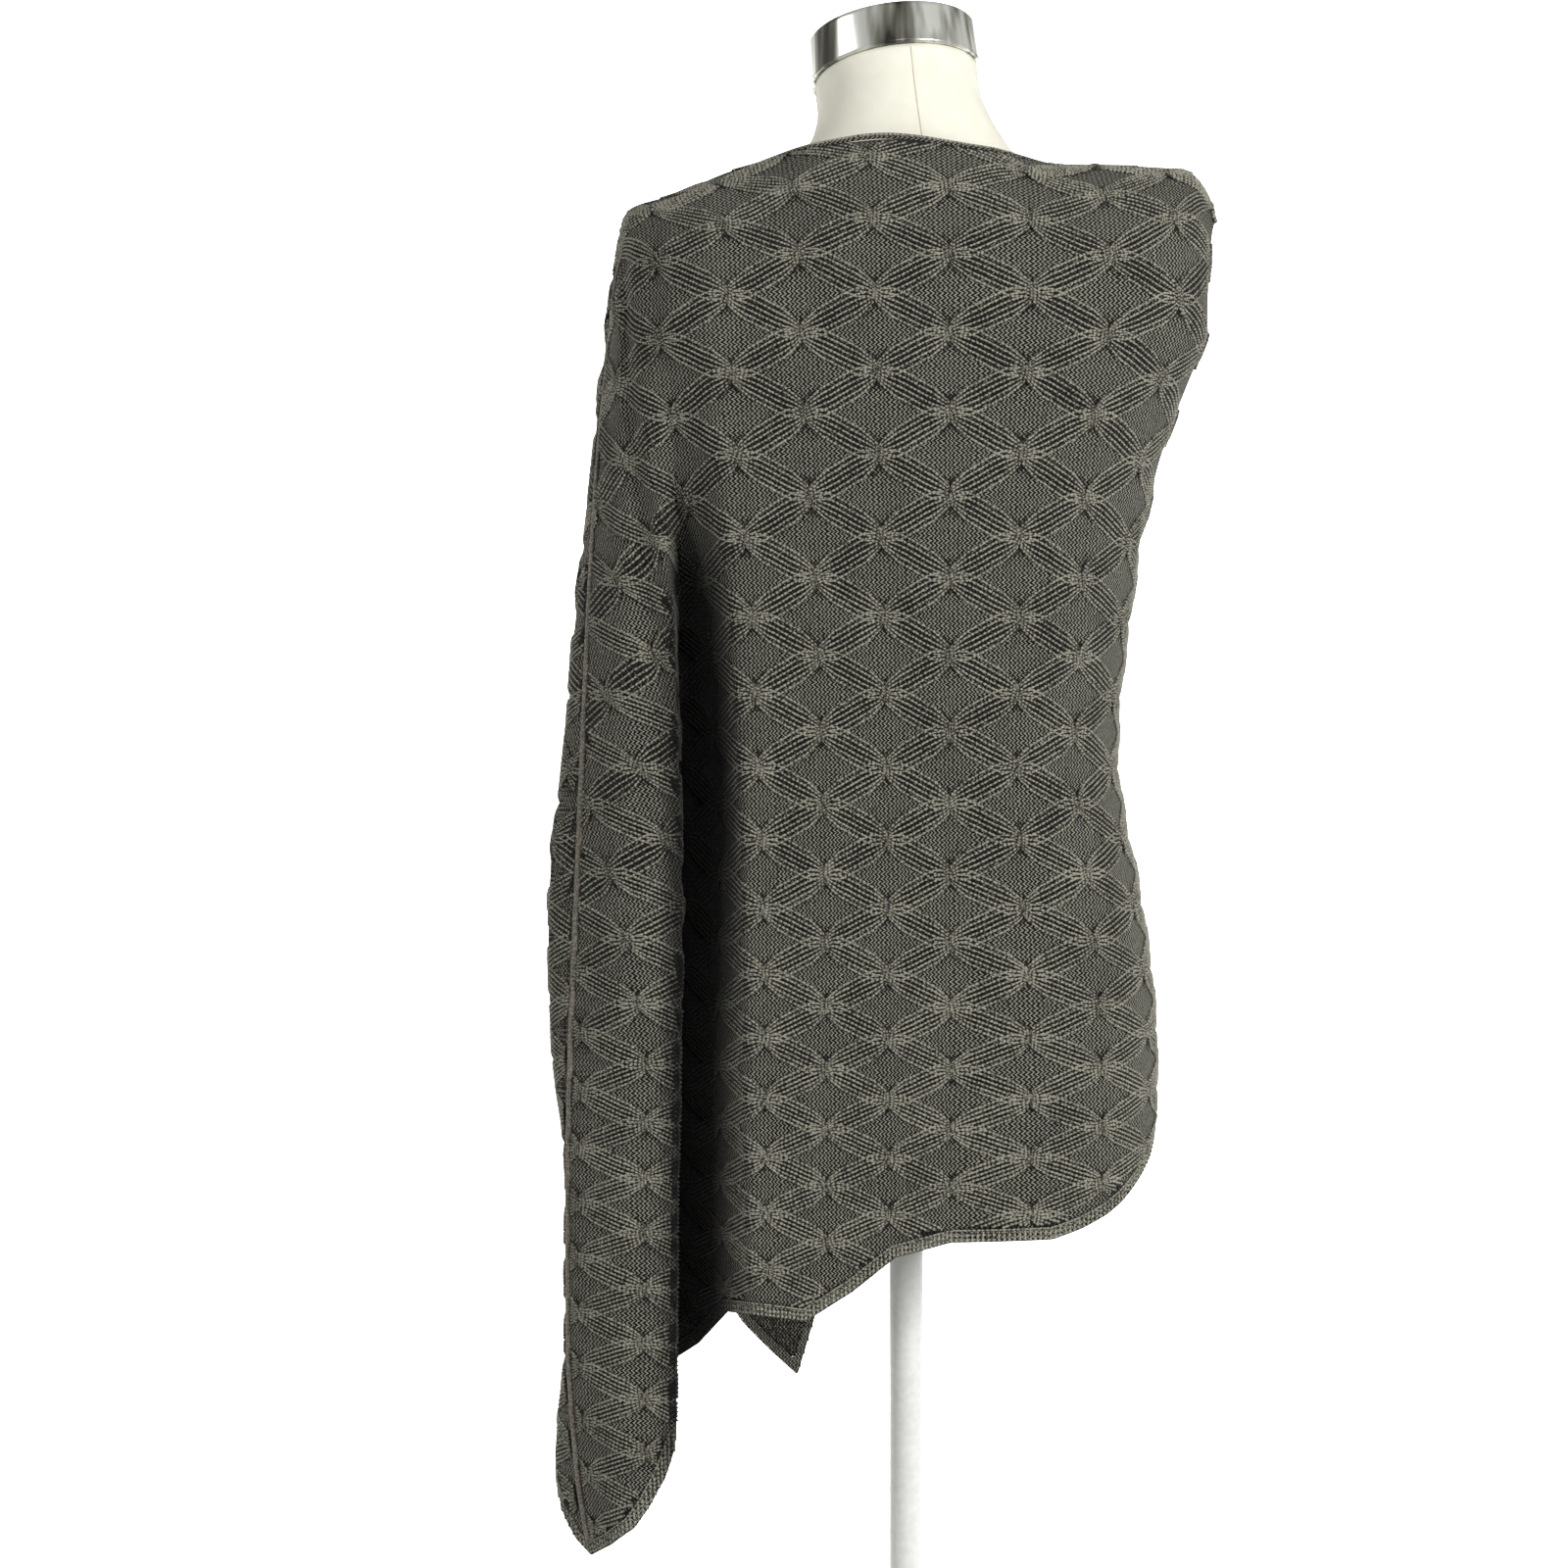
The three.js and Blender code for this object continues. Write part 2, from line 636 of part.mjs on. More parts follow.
function ringLoft(rings, place) {
  const positions = [];
  const faces = [];
  for (const ring of rings) {
    for (let i = 0; i < FORM_SIDES; i += 1) {
      const angle = (2 * Math.PI * i) / FORM_SIDES;
      const cos = Math.cos(angle);
      const sin = Math.sin(angle);
      const x = ring.halfWidth * Math.sign(cos) * Math.abs(cos) ** (2 / ring.power);
      const y = ring.middleY + ring.halfDepth * Math.sign(sin) * Math.abs(sin) ** (2 / ring.power);
      positions.push(place(x, y, ring.z));
    }
  }
  for (let level = 0; level < rings.length - 1; level += 1) {
    for (let i = 0; i < FORM_SIDES; i += 1) {
      const next = (i + 1) % FORM_SIDES;
      const a = level * FORM_SIDES + i;
      const b = level * FORM_SIDES + next;
      faces.push([a, b, a + FORM_SIDES], [b, b + FORM_SIDES, a + FORM_SIDES]);
    }
  }
  const last = (rings.length - 1) * FORM_SIDES;
  for (let i = 1; i < FORM_SIDES - 1; i += 1) {
    faces.push([0, i + 1, i], [last, last + i, last + i + 1]);
  }
  return closedGeometry(positions, faces);
}

function capGeometry() {
  const seat = NECK_TOP + TOUCH_GAP;
  const rings = table(
    ["z", "halfWidth", "halfDepth", "middleY", "power"],
    [
      [seat, CAP_RADIUS - 1, CAP_RADIUS - 1, 0, 2],
      [seat + 1, CAP_RADIUS, CAP_RADIUS, 0, 2],
      [seat + CAP_HEIGHT - 3, CAP_RADIUS, CAP_RADIUS, 0, 2],
      [seat + CAP_HEIGHT - 0.9, CAP_RADIUS - 0.9, CAP_RADIUS - 0.9, 0, 2],
      [seat + CAP_HEIGHT, CAP_RADIUS - 3, CAP_RADIUS - 3, 0, 2],
      [seat + CAP_HEIGHT + 6, CAP_RADIUS * 0.6, CAP_RADIUS * 0.6, 0, 2],
      [seat + CAP_HEIGHT + 8, CAP_RADIUS * 0.2, CAP_RADIUS * 0.2, 0, 2],
    ],
  );
  return ringLoft(rings, formPoint);
}

const turned = (profile) =>
  new THREE.LatheGeometry(profile.map(([radius, z]) => new THREE.Vector2(radius, z)), FORM_SIDES)
    .rotateX(Math.PI / 2);

const POLE_BOTTOM = HUB_TOP + TOUCH_GAP;
const FLANGE_TOP = FORM_BOTTOM - TOUCH_GAP;
const FLANGE_BOTTOM = FLANGE_TOP - FLANGE_THICK;
const POLE_TOP = FLANGE_BOTTOM - TOUCH_GAP;

const baseGeometry = () =>
  turned([
    [0, 0],
    [BASE_RADIUS - 2, 0],
    [BASE_RADIUS, 3],
    [BASE_RADIUS, BASE_THICK - 5],
    [BASE_RADIUS - 6, BASE_THICK],
    [HUB_RADIUS + 14, BASE_THICK + 6],
    [HUB_RADIUS, BASE_THICK + 14],
    [HUB_RADIUS - 2, HUB_TOP - 2],
    [HUB_RADIUS - 6, HUB_TOP],
    [0, HUB_TOP],
  ]);
const poleGeometry = () =>
  turned([
    [0, POLE_BOTTOM],
    [POLE_RADIUS, POLE_BOTTOM],
    [POLE_RADIUS, POLE_TOP],
    [0, POLE_TOP],
  ]);
const flangeGeometry = () =>
  turned([
    [0, FLANGE_BOTTOM],
    [POLE_RADIUS + 8, FLANGE_BOTTOM],
    [POLE_RADIUS + 11, FLANGE_BOTTOM + 5],
    [FLANGE_RADIUS, FLANGE_TOP - 4],
    [FLANGE_RADIUS, FLANGE_TOP],
    [0, FLANGE_TOP],
  ]);

const KNIT = { color: 0x55534b, roughness: 0.95, metalness: 0 };
const LINEN = { color: 0xf1f0e0, roughness: 0.8, metalness: 0 };
const STEEL = { color: 0xb9bab4, roughness: 0.25, metalness: 1 };
const ENAMEL = { color: 0xe9e9e6, roughness: 0.35, metalness: 0 };

const part = new THREE.Group();
function addPiece(name, geometry, finish) {
  const mesh = new THREE.Mesh(geometry, new THREE.MeshStandardMaterial(finish));
  mesh.name = name;
  part.add(mesh);
}

addPiece("back_panel", panelGeometry(back, BACK_FOLDED_FROM, BACK_NECK_END), KNIT);
addPiece("front_panel", panelGeometry(front, FRONT_FOLDED_FROM, FRONT_NECK_END), KNIT);
addPiece("hem_band_back", hemGeometry(back, BACK_FOLDED_FROM), KNIT);
addPiece("hem_band_front", hemGeometry(front, FRONT_FOLDED_FROM), KNIT);
addPiece("neck_edge_back", neckEdgeGeometry(back, BACK_FOLDED_FROM, BACK_NECK_END), KNIT);
addPiece("neck_edge_front", neckEdgeGeometry(front, FRONT_FOLDED_FROM, FRONT_NECK_END), KNIT);
addPiece("form_torso", ringLoft(FORM_RINGS, formPoint), LINEN);
addPiece("form_neck_cap", capGeometry(), STEEL);
addPiece("form_flange", flangeGeometry(), ENAMEL);
addPiece("form_pole", poleGeometry(), ENAMEL);
addPiece("form_base", baseGeometry(), ENAMEL);

export default part;
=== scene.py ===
"""Lattice-cabled knitted poncho sweater, worn by a limbless dress form on a pole stand.

The drape is worked out in millimetres from the same named sizes and tables as the solids, and
every mesh is then written in metres. The back faces -Y and the long point hangs at -X.
"""
import math

import bpy
import numpy as np
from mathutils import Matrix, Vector


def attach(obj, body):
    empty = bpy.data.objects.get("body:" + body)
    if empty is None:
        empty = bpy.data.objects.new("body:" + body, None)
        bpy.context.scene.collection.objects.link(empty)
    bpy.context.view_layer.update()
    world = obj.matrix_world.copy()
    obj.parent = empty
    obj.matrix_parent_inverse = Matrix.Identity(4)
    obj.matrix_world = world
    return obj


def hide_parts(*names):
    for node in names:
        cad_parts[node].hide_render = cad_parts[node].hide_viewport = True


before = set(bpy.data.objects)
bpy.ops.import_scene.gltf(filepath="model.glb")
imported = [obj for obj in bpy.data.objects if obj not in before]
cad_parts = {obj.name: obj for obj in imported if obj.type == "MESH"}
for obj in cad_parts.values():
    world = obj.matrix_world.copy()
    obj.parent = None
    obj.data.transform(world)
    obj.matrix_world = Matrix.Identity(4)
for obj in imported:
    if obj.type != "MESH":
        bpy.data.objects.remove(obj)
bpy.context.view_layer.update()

MM = 0.001

# Cloth
WALL = 2.2
STRAND_RISE = 1.3
SEAM_GAP = 0.4
BAND_GAP = 1.3
HEM_WIDTH = 8.0
NECK_EDGE_WIDTH = 5.0
BAND_PROUD = 0.5

# Knit layout: columns of crossings are counted from the middle of a panel, rows run down
SIDE_COLUMN = 4.2
ROW_ZERO_HEIGHT = 820
YOKE_HEIGHT = 1000
YOKE_PITCH = 52
COLUMN_WIDTH = 47.0
WALE = 3.3
COURSE = 3.0
STITCH = 3.0

# Arm slit at the short side
SLIT_LOW = 770
SLIT_HIGH = 1075
SLIT_HALF = 17
SLIT_POINTED = 1.3

# Form
NECK_TOP = 1187
NECK_LEAN = 0.19
NECK_LEAN_FROM = 1120
NECK_TILT = 0.105
NECK_TILT_FULL = 1160
SHOULDER_TILT = 0.035
TILT_FROM = 880
TILT_FULL = 1010
CAP_HEIGHT = 31
CAP_RADIUS = 61
TOUCH_GAP = 0.3


def add_object(name, data):
    added = bpy.data.objects.new(name, data)
    bpy.context.collection.objects.link(added)
    return added


def make_camera():
    data = bpy.data.cameras.new("camera")
    data.lens = 73.93
    data.sensor_width = 36
    camera = add_object("camera", data)
    camera.location = (-0.0875, -2.3, 0.68)
    camera.rotation_euler = (math.pi / 2, 0, 0)
    bpy.context.scene.camera = camera


make_camera()


def table(columns, rows):
    return {name: np.array([row[i] for row in rows], float) for i, name in enumerate(columns)}


# The worn outline, level by level: how far the cloth reaches to each side, where the seam on the
# long side runs, the height between crossings, and the panel columns that reach the seam
OUTLINE = table(
    ["z", "right", "left", "back", "front", "seamX", "seamY", "pitch", "backSeam", "frontSeam"],
    [
        [1000, 214, -214, -112, 104, -211, -14, 53, -5.4, -5.2],
        [900, 177, -224, -119, 120, -219, -34, 57, -5.9, -5.7],
        [800, 157, -234, -117, 122, -224, -48, 53, -6.9, -6.5],
        [700, 148, -242, -112, 118, -228, -54, 50, -7.9, -7.2],
        [600, 165, -252, -118, 124, -232, -56, 46, -8.8, -7.8],
        [500, 176, -250, -126, 130, -236, -56, 41.5, -9.25, -8],
        [400, 175, -239, -131, 135, -238, -54, 38, -9.25, -8],
        [300, 172, -239, -134, 138, -238, -52, 38, -9.25, -8],
        [200, 172, -248, -136, 140, -232, -48, 38, -9.25, -8],
        [130, 172, -243, -137, 141, -221, -44, 38, -9.25, -8],
    ],
)

# The large folds, level by level: on the back a crest, a deep valley and the crest of the hanging
# flap, and on the front one soft crest and its valley
FOLDS = table(
    [
        "z", "ridgeX", "ridgeY", "valleyX", "valleyY",
        "flapX", "flapY", "crestX", "crestY", "dipX", "dipY",
    ],
    [
        [1000, -139, -98, -166, -84, -190, -60, -186, 50, -150, 74],
        [900, -131, -107, -162, -84, -178, -84, -190, 56, -148, 74],
        [800, -121, -108, -160, -52, -166, -92, -192, 62, -146, 70],
        [700, -116, -106, -160, -24, -161, -92, -194, 66, -145, 64],
        [600, -112, -110, -168, -16, -158, -90, -198, 68, -150, 64],
        [500, -111, -117, -180, -10, -159, -90, -202, 70, -156, 66],
        [400, -110, -121, -181, -8, -161, -90, -200, 72, -154, 70],
        [300, -107, -124, -178, -10, -162, -89, -198, 74, -152, 74],
        [200, -106, -126, -174, -12, -163, -87, -198, 74, -152, 76],
        [130, -105, -127, -172, -14, -163, -86, -198, 74, -152, 76],
    ],
)

# Upper edge of each panel, from the side at +X over the shoulder and round the neck to the seam
EDGE_COLUMNS = ["column", "x", "y", "z", "dome"]
BACK_EDGE = table(
    EDGE_COLUMNS,
    [
        [4.2, 221, -2, 1081, 1],
        [3.8, 212, -1.6, 1103, 1],
        [3.4, 198, -1, 1117, 1],
        [2.6, 162, -0.8, 1119, 1],
        [1.75, 118, -4, 1119, 0.9],
        [0.45, 51, -56, 1124, 0.4],
        [-0.75, -17, -66, 1131, 0.25],
        [-1.65, -65, -57, 1126, 0.4],
        [-2.7, -122, -6, 1116, 0.9],
        [-3.6, -163, -0.8, 1100, 1],
        [-4.4, -200, -0.8, 1086, 1],
        [-5.4, -211, -14, 1000, 1],
    ],
)
FRONT_EDGE = table(
    EDGE_COLUMNS,
    [
        [4.2, 221, 2, 1081, 1],
        [3.9, 212, 1.6, 1103, 1],
        [3.6, 198, 1, 1117, 1],
        [2.9, 162, 0.8, 1119, 1],
        [2.1, 118, 2, 1118, 0.9],
        [1.1, 64, 55, 1098, 0.4],
        [0, 0, 78, 1083, 0.2],
        [-1.1, -68, 55, 1088, 0.4],
        [-2.3, -122, 4, 1115, 0.9],
        [-3.2, -163, 0.8, 1100, 1],
        [-4, -200, 0.8, 1086, 1],
        [-5.2, -211, -14, 1000, 1],
    ],
)

# Lower edge of each panel: the height of the hem at a column
HEM_COLUMNS = ["column", "z"]
BACK_HEM = table(
    HEM_COLUMNS,
    [
        [4.2, 452], [3.7, 438], [3.2, 420], [2.8, 407], [2.4, 394], [2.1, 386],
        [1.7, 378], [1.3, 372], [0, 371], [-0.9, 361], [-1.6, 338], [-2.4, 317],
        [-3.25, 321], [-4, 318], [-4.9, 289], [-6, 264], [-7.1, 252], [-7.5, 228],
        [-7.75, 201], [-8, 181], [-8.25, 166], [-8.7, 152], [-9.25, 140],
    ],
)
FRONT_HEM = table(
    HEM_COLUMNS,
    [
        [4.2, 452], [3.5, 434], [2.5, 402], [1.5, 384], [0, 366], [-1, 336],
        [-1.5, 294], [-1.9, 235], [-3, 279], [-4.2, 345], [-5.5, 440], [-6.5, 585],
        [-6.75, 600], [-7, 330], [-7.25, 205], [-7.5, 168], [-7.75, 149], [-8, 140],
    ],
)

# The form's rings, from its underside to the neck
FORM_RINGS = table(
    ["z", "halfWidth", "halfDepth", "middleY", "power"],
    [
        [478, 141, 96, 0, 2.2],
        [486, 149, 104, 0, 2.2],
        [520, 152, 107, 0, 2.2],
        [600, 147, 104, 0, 2.2],
        [690, 124, 90, 0, 2.1],
        [740, 119, 87, 0, 2.1],
        [820, 132, 97, 0, 2.1],
        [900, 148, 106, 0, 2.2],
        [960, 164, 103, -2, 2.3],
        [1010, 184, 92, -3, 2.4],
        [1045, 194, 78, -2, 2.4],
        [1070, 193, 64, 0, 2.4],
        [1089, 184, 50, 0, 2.4],
        [1100, 166, 39, -5, 2.3],
        [1107, 124, 35, -9, 2.2],
        [1115, 92, 33, -12, 2.1],
        [1124, 78, 42, -10, 2],
        [1136, 70, 50, -6, 2],
        [1152, 62, 56, -2, 2],
        [1168, 58, 58, 0, 2],
        [1187, 58, 58, 0, 2],
    ],
)


def mix(a, b, share):
    return a + (b - a) * share


def smooth_step(value, low, high):
    t = np.clip((value - low) / (high - low), 0, 1)
    return t * t * (3 - 2 * t)


def smooth_read(rows, key, name, at):
    """Reads a table smoothly between its rows, without overshoot, and holds its ends."""
    order = np.argsort(rows[key])
    keys = rows[key][order]
    values = rows[name][order]
    secant = np.diff(values) / np.diff(keys)
    before = np.concatenate([secant[:1], secant])
    after = np.concatenate([secant, secant[-1:]])
    same_way = before * after > 0
    total = np.where(same_way, before + after, 1)
    slope = np.where(same_way, 2 * before * after / total, 0)
    at = np.asarray(at, float)
    i = np.clip(np.searchsorted(keys, at, "right") - 1, 0, len(keys) - 2)
    span = keys[i + 1] - keys[i]
    t = np.clip((at - keys[i]) / span, 0, 1)
    a = values[i]
    b = values[i + 1]
    bend = slope[i] * span * (1 - t) - slope[i + 1] * span * t + (b - a) * (2 * t - 1)
    return mix(a, b, t) + bend * t * (1 - t)


def straight_read(rows, key, name, at):
    order = np.argsort(rows[key])
    return np.interp(at, rows[key][order], rows[name][order])


# Plan of the whole garment at one level, as a smooth closed ring with its seams and folds marked
CORNER_POWER = 2.4
CORNER_ANGLES = [22, 45, 68]
BACK_MIDDLE = 25
FRONT_MIDDLE = 8
PLAN_STEPS = 10
# Places beside the crest of a fold that keep it round, at the yoke and on the body
YOKE_CREST_STEP = 20
BODY_CREST_STEP = 13
CREST_STEP_FALL = 200
FLAP_BULGE = 7
FOLD_BEHIND_SEAM = 22
FRONT_SHOULDER_X = -88
FRONT_SHOULDER_DEPTH = 0.88


def corner(middle, reach, depth, degrees):
    angle = math.radians(degrees)
    x = middle + (reach - middle) * math.cos(angle) ** (2 / CORNER_POWER)
    return x, depth * math.sin(angle) ** (2 / CORNER_POWER)


def plan_points(z):
    o = {name: float(smooth_read(OUTLINE, "z", name, z)) for name in OUTLINE}
    f = {name: float(smooth_read(FOLDS, "z", name, z)) for name in FOLDS}
    points = []
    marks = {}

    def add(x, y, name=None):
        if name:
            marks[name] = len(points)
        points.append((x, y))

    below_yoke = min(max((YOKE_HEIGHT - z) / CREST_STEP_FALL, 0), 1)
    crest_step = mix(YOKE_CREST_STEP, BODY_CREST_STEP, below_yoke)

    def towards(x0, y0, x1, y1):
        share = crest_step / math.hypot(x1 - x0, y1 - y0)
        add(mix(x0, x1, share), mix(y0, y1, share))

    add(o["right"], 0, "side")
    for degrees in CORNER_ANGLES:
        add(*corner(BACK_MIDDLE, o["right"], o["back"], degrees))
    add(BACK_MIDDLE, o["back"], "backMiddle")
    add(mix(BACK_MIDDLE, f["ridgeX"], 0.5), mix(o["back"], f["ridgeY"], 0.3))
    towards(f["ridgeX"], f["ridgeY"], BACK_MIDDLE, o["back"])
    add(f["ridgeX"], f["ridgeY"], "ridge")
    towards(f["ridgeX"], f["ridgeY"], f["valleyX"], f["valleyY"])
    add(f["valleyX"], f["valleyY"])
    towards(f["flapX"], f["flapY"], f["valleyX"], f["valleyY"])
    add(f["flapX"], f["flapY"])
    towards(f["flapX"], f["flapY"], o["seamX"], o["seamY"])
    add(mix(f["flapX"], o["seamX"], 0.55), mix(f["flapY"], o["seamY"], 0.5) - FLAP_BULGE)
    add(o["seamX"], o["seamY"], "seam")
    fold_y = o["seamY"] + FOLD_BEHIND_SEAM
    add(o["left"], fold_y)
    add(mix(o["left"], f["crestX"], 0.3), mix(fold_y, f["crestY"], 0.62))
    add(f["crestX"], f["crestY"])
    add(f["dipX"], f["dipY"])
    add(FRONT_SHOULDER_X, o["front"] * FRONT_SHOULDER_DEPTH)
    add(FRONT_MIDDLE, o["front"], "frontMiddle")
    for degrees in reversed(CORNER_ANGLES):
        add(*corner(FRONT_MIDDLE, o["right"], o["front"], degrees))
    return np.array(points), marks


def ring_through(points):
    """A closed centripetal spline through the points, PLAN_STEPS places a span."""
    p0 = np.roll(points, 1, axis=0)
    p1 = points
    p2 = np.roll(points, -1, axis=0)
    p3 = np.roll(points, -2, axis=0)
    gap0 = np.linalg.norm(p1 - p0, axis=1)[:, None] ** 0.5
    gap1 = np.linalg.norm(p2 - p1, axis=1)[:, None] ** 0.5
    gap2 = np.linalg.norm(p3 - p2, axis=1)[:, None] ** 0.5
    leave = ((p1 - p0) / gap0 - (p2 - p0) / (gap0 + gap1) + (p2 - p1) / gap1) * gap1
    arrive = ((p2 - p1) / gap1 - (p3 - p1) / (gap1 + gap2) + (p3 - p2) / gap2) * gap1
    t = (np.arange(PLAN_STEPS) / PLAN_STEPS)[None, :, None]
    p1, p2, leave, arrive = (v[:, None, :] for v in (p1, p2, leave, arrive))
    cubic = 2 * p1 - 2 * p2 + leave + arrive
    square = -3 * p1 + 3 * p2 - 2 * leave - arrive
    line = p1 + leave * t + square * t**2 + cubic * t**3
    line = line.reshape(-1, 2)
    return np.vstack([line, line[:1]])


LEVEL_BOTTOM = 120
LEVEL_STEP = 4
LEVELS = np.arange(LEVEL_BOTTOM, YOKE_HEIGHT + 1, LEVEL_STEP, dtype=float)
GRID_COLUMNS = 640
RIDGE_COLUMN = -3.25
INSIDE_LAST = 1.001


def slit_at(z):
    along = np.clip((z - SLIT_LOW) / (SLIT_HIGH - SLIT_LOW), 0, 1)
    return SLIT_HALF * np.sin(math.pi * along) ** SLIT_POINTED + SEAM_GAP


def back_arcs(columns, z, arcs):
    middle, ridge, seam = arcs["backMiddle"], arcs["ridge"], arcs["seam"]
    last = straight_read(OUTLINE, "z", "backSeam", z)
    side = mix(middle, slit_at(z), columns / SIDE_COLUMN)
    body = mix(middle, ridge, columns / RIDGE_COLUMN)
    folded = mix(ridge, seam - SEAM_GAP, (columns - RIDGE_COLUMN) / (last - RIDGE_COLUMN))
    return np.where(columns >= 0, side, np.where(columns >= RIDGE_COLUMN, body, folded))


def front_arcs(columns, z, arcs):
    middle, seam, end = arcs["frontMiddle"], arcs["seam"], arcs["end"]
    last = straight_read(OUTLINE, "z", "frontSeam", z)
    side = mix(middle, end - slit_at(z), columns / SIDE_COLUMN)
    body = mix(middle, seam + SEAM_GAP, columns / last)
    return np.where(columns >= 0, side, body)


ROW_HEIGHTS = np.arange(60, 1261, 1.0)


def row_table():
    pitch = np.where(
        ROW_HEIGHTS > YOKE_HEIGHT,
        YOKE_PITCH,
        smooth_read(OUTLINE, "z", "pitch", ROW_HEIGHTS),
    )
    rows = -np.cumsum(1 / pitch)
    return rows - np.interp(ROW_ZERO_HEIGHT, ROW_HEIGHTS, rows)


ROWS = row_table()


def row_at(height):
    return np.interp(height, ROW_HEIGHTS, ROWS)


def height_of_row(row):
    return np.interp(-np.asarray(row), -ROWS, ROW_HEIGHTS)


# The domed shoulders take up more cloth than a straight line, and the neck hollows in
DOME_SLACK = 0.11
YOKE_HOLLOW = 1.5
HEM_TRIES = 33
# How far to each side the cloth is read for the way that it faces
BESIDE_COLUMN = 0.1
BESIDE_HEIGHT = 3


class Panel:
    """One knitted panel: where a place of its cloth hangs, by column and by height of cloth."""

    def __init__(self, edge, hem, seam_name, arcs_of, inward):
        self.edge = edge
        self.hem = hem
        self.seam_name = seam_name
        self.inward = inward
        self.last = float(hem["column"].min())
        self.edge_end = float(edge["column"].min())
        self.grid_columns = np.linspace(self.last - BESIDE_COLUMN, SIDE_COLUMN, GRID_COLUMNS)
        grid = []
        for z in LEVELS:
            points, marks = plan_points(z)
            line = ring_through(points)
            pieces = np.linalg.norm(np.diff(line, axis=0), axis=1)
            lengths = np.concatenate([[0], np.cumsum(pieces)])
            arcs = {name: lengths[index * PLAN_STEPS] for name, index in marks.items()}
            arcs["end"] = lengths[-1]
            arc = np.clip(arcs_of(self.grid_columns, z, arcs), 0, lengths[-1])
            xy = [np.interp(arc, lengths, line[:, axis]) for axis in (0, 1)]
            grid.append(np.stack(xy, axis=-1))
        self.grid = np.array(grid)

    def level_point(self, column, z):
        step = self.grid_columns[1] - self.grid_columns[0]
        across = np.clip((column - self.grid_columns[0]) / step, 0, GRID_COLUMNS - INSIDE_LAST)
        up = np.clip((z - LEVELS[0]) / LEVEL_STEP, 0, len(LEVELS) - INSIDE_LAST)
        j = across.astype(int)
        i = up.astype(int)
        s = (across - j)[..., None]
        t = (up - i)[..., None]
        low = mix(self.grid[i, j], self.grid[i, j + 1], s)
        high = mix(self.grid[i + 1, j], self.grid[i + 1, j + 1], s)
        return mix(low, high, t)

    def edge_at(self, name, column):
        return smooth_read(self.edge, "column", name, column)

    def yoke_length(self, column):
        low = self.level_point(column, np.full_like(column, YOKE_HEIGHT))
        rise = self.edge_at("z", column) - YOKE_HEIGHT
        across = self.edge_at("x", column) - low[..., 0]
        deep = self.edge_at("y", column) - low[..., 1]
        length = np.sqrt(rise**2 + across**2 + deep**2)
        return length * (1 + DOME_SLACK * self.edge_at("dome", column))

    def top(self, column):
        column = np.asarray(column, float)
        seam = OUTLINE[self.seam_name]
        moving = np.concatenate([[True], seam[1:] < seam[:-1]])
        rows = {"seam": seam[moving], "z": OUTLINE["z"][moving]}
        on_seam = straight_read(rows, "seam", "z", column)
        return np.where(column >= self.edge_end, YOKE_HEIGHT + self.yoke_length(column), on_seam)

    def hem_at(self, column):
        return straight_read(self.hem, "column", "z", column)

    def above_hem(self, column, width):
        best = np.full(np.shape(column), -np.inf)
        for aside in np.linspace(-width, width, HEM_TRIES):
            near = np.clip(column + aside / COLUMN_WIDTH, self.last, SIDE_COLUMN)
            best = np.maximum(best, self.hem_at(near) + math.sqrt(max(width**2 - aside**2, 0)))
        return best

    def point(self, column, height):
        column, height = np.broadcast_arrays(np.asarray(column, float), np.asarray(height, float))
        level = np.minimum(height, YOKE_HEIGHT)
        low = self.level_point(column, level)
        length = self.yoke_length(column)
        t = np.clip((height - YOKE_HEIGHT) / length, 0, 1)
        turn = t * math.pi / 2
        dome = self.edge_at("dome", column)
        share = mix(t**YOKE_HOLLOW, 1 - np.cos(turn), dome)
        rise = mix(t, np.sin(turn), dome)
        yoke = np.stack(
            [
                mix(low[..., 0], self.edge_at("x", column), share),
                mix(low[..., 1], self.edge_at("y", column), share),
                mix(float(YOKE_HEIGHT), self.edge_at("z", column), rise),
            ],
            axis=-1,
        )
        body = np.concatenate([low, level[..., None]], axis=-1)
        on_yoke = (height > YOKE_HEIGHT) & (column >= self.edge_end)
        return np.where(on_yoke[..., None], yoke, body)

    def outward(self, column, height):
        column, height = np.broadcast_arrays(np.asarray(column, float), np.asarray(height, float))
        left = self.point(np.maximum(column - BESIDE_COLUMN, self.last), height)
        right = self.point(np.minimum(column + BESIDE_COLUMN, SIDE_COLUMN), height)
        above = self.point(column, np.minimum(height + BESIDE_HEIGHT, self.top(column)))
        below = self.point(column, height - BESIDE_HEIGHT)
        out = np.cross(left - right, below - above) * self.inward
        return out / np.maximum(np.linalg.norm(out, axis=-1, keepdims=True), 1e-9)


back = Panel(BACK_EDGE, BACK_HEM, "backSeam", back_arcs, 1)
front = Panel(FRONT_EDGE, FRONT_HEM, "frontSeam", front_arcs, -1)


def off_whole(value):
    return value - np.round(value)


# A strand turns steeply through the knot of a crossing, runs on nearly level beside it, and slants
# most half way to the next one
SWAY = 0.3
KNOT_TURN = 0.07
KNOT_SHARE = 0.11
# The relief of the lattice: half a strand's width, in rows, and the size of a knot
STRAND_HALF = 0.25
STRAND_ROUNDING = 0.6
KNOT_RISE = 0.9
KNOT_ACROSS = 0.4
KNOT_DOWN = 0.2


def knot_turn(share):
    return share / KNOT_SHARE * np.exp(1 - share / KNOT_SHARE)


def sway(share):
    slant = mix(share, smooth_step(share, 0, 1), SWAY)
    return slant + KNOT_TURN * (knot_turn(share) - knot_turn(1 - share))


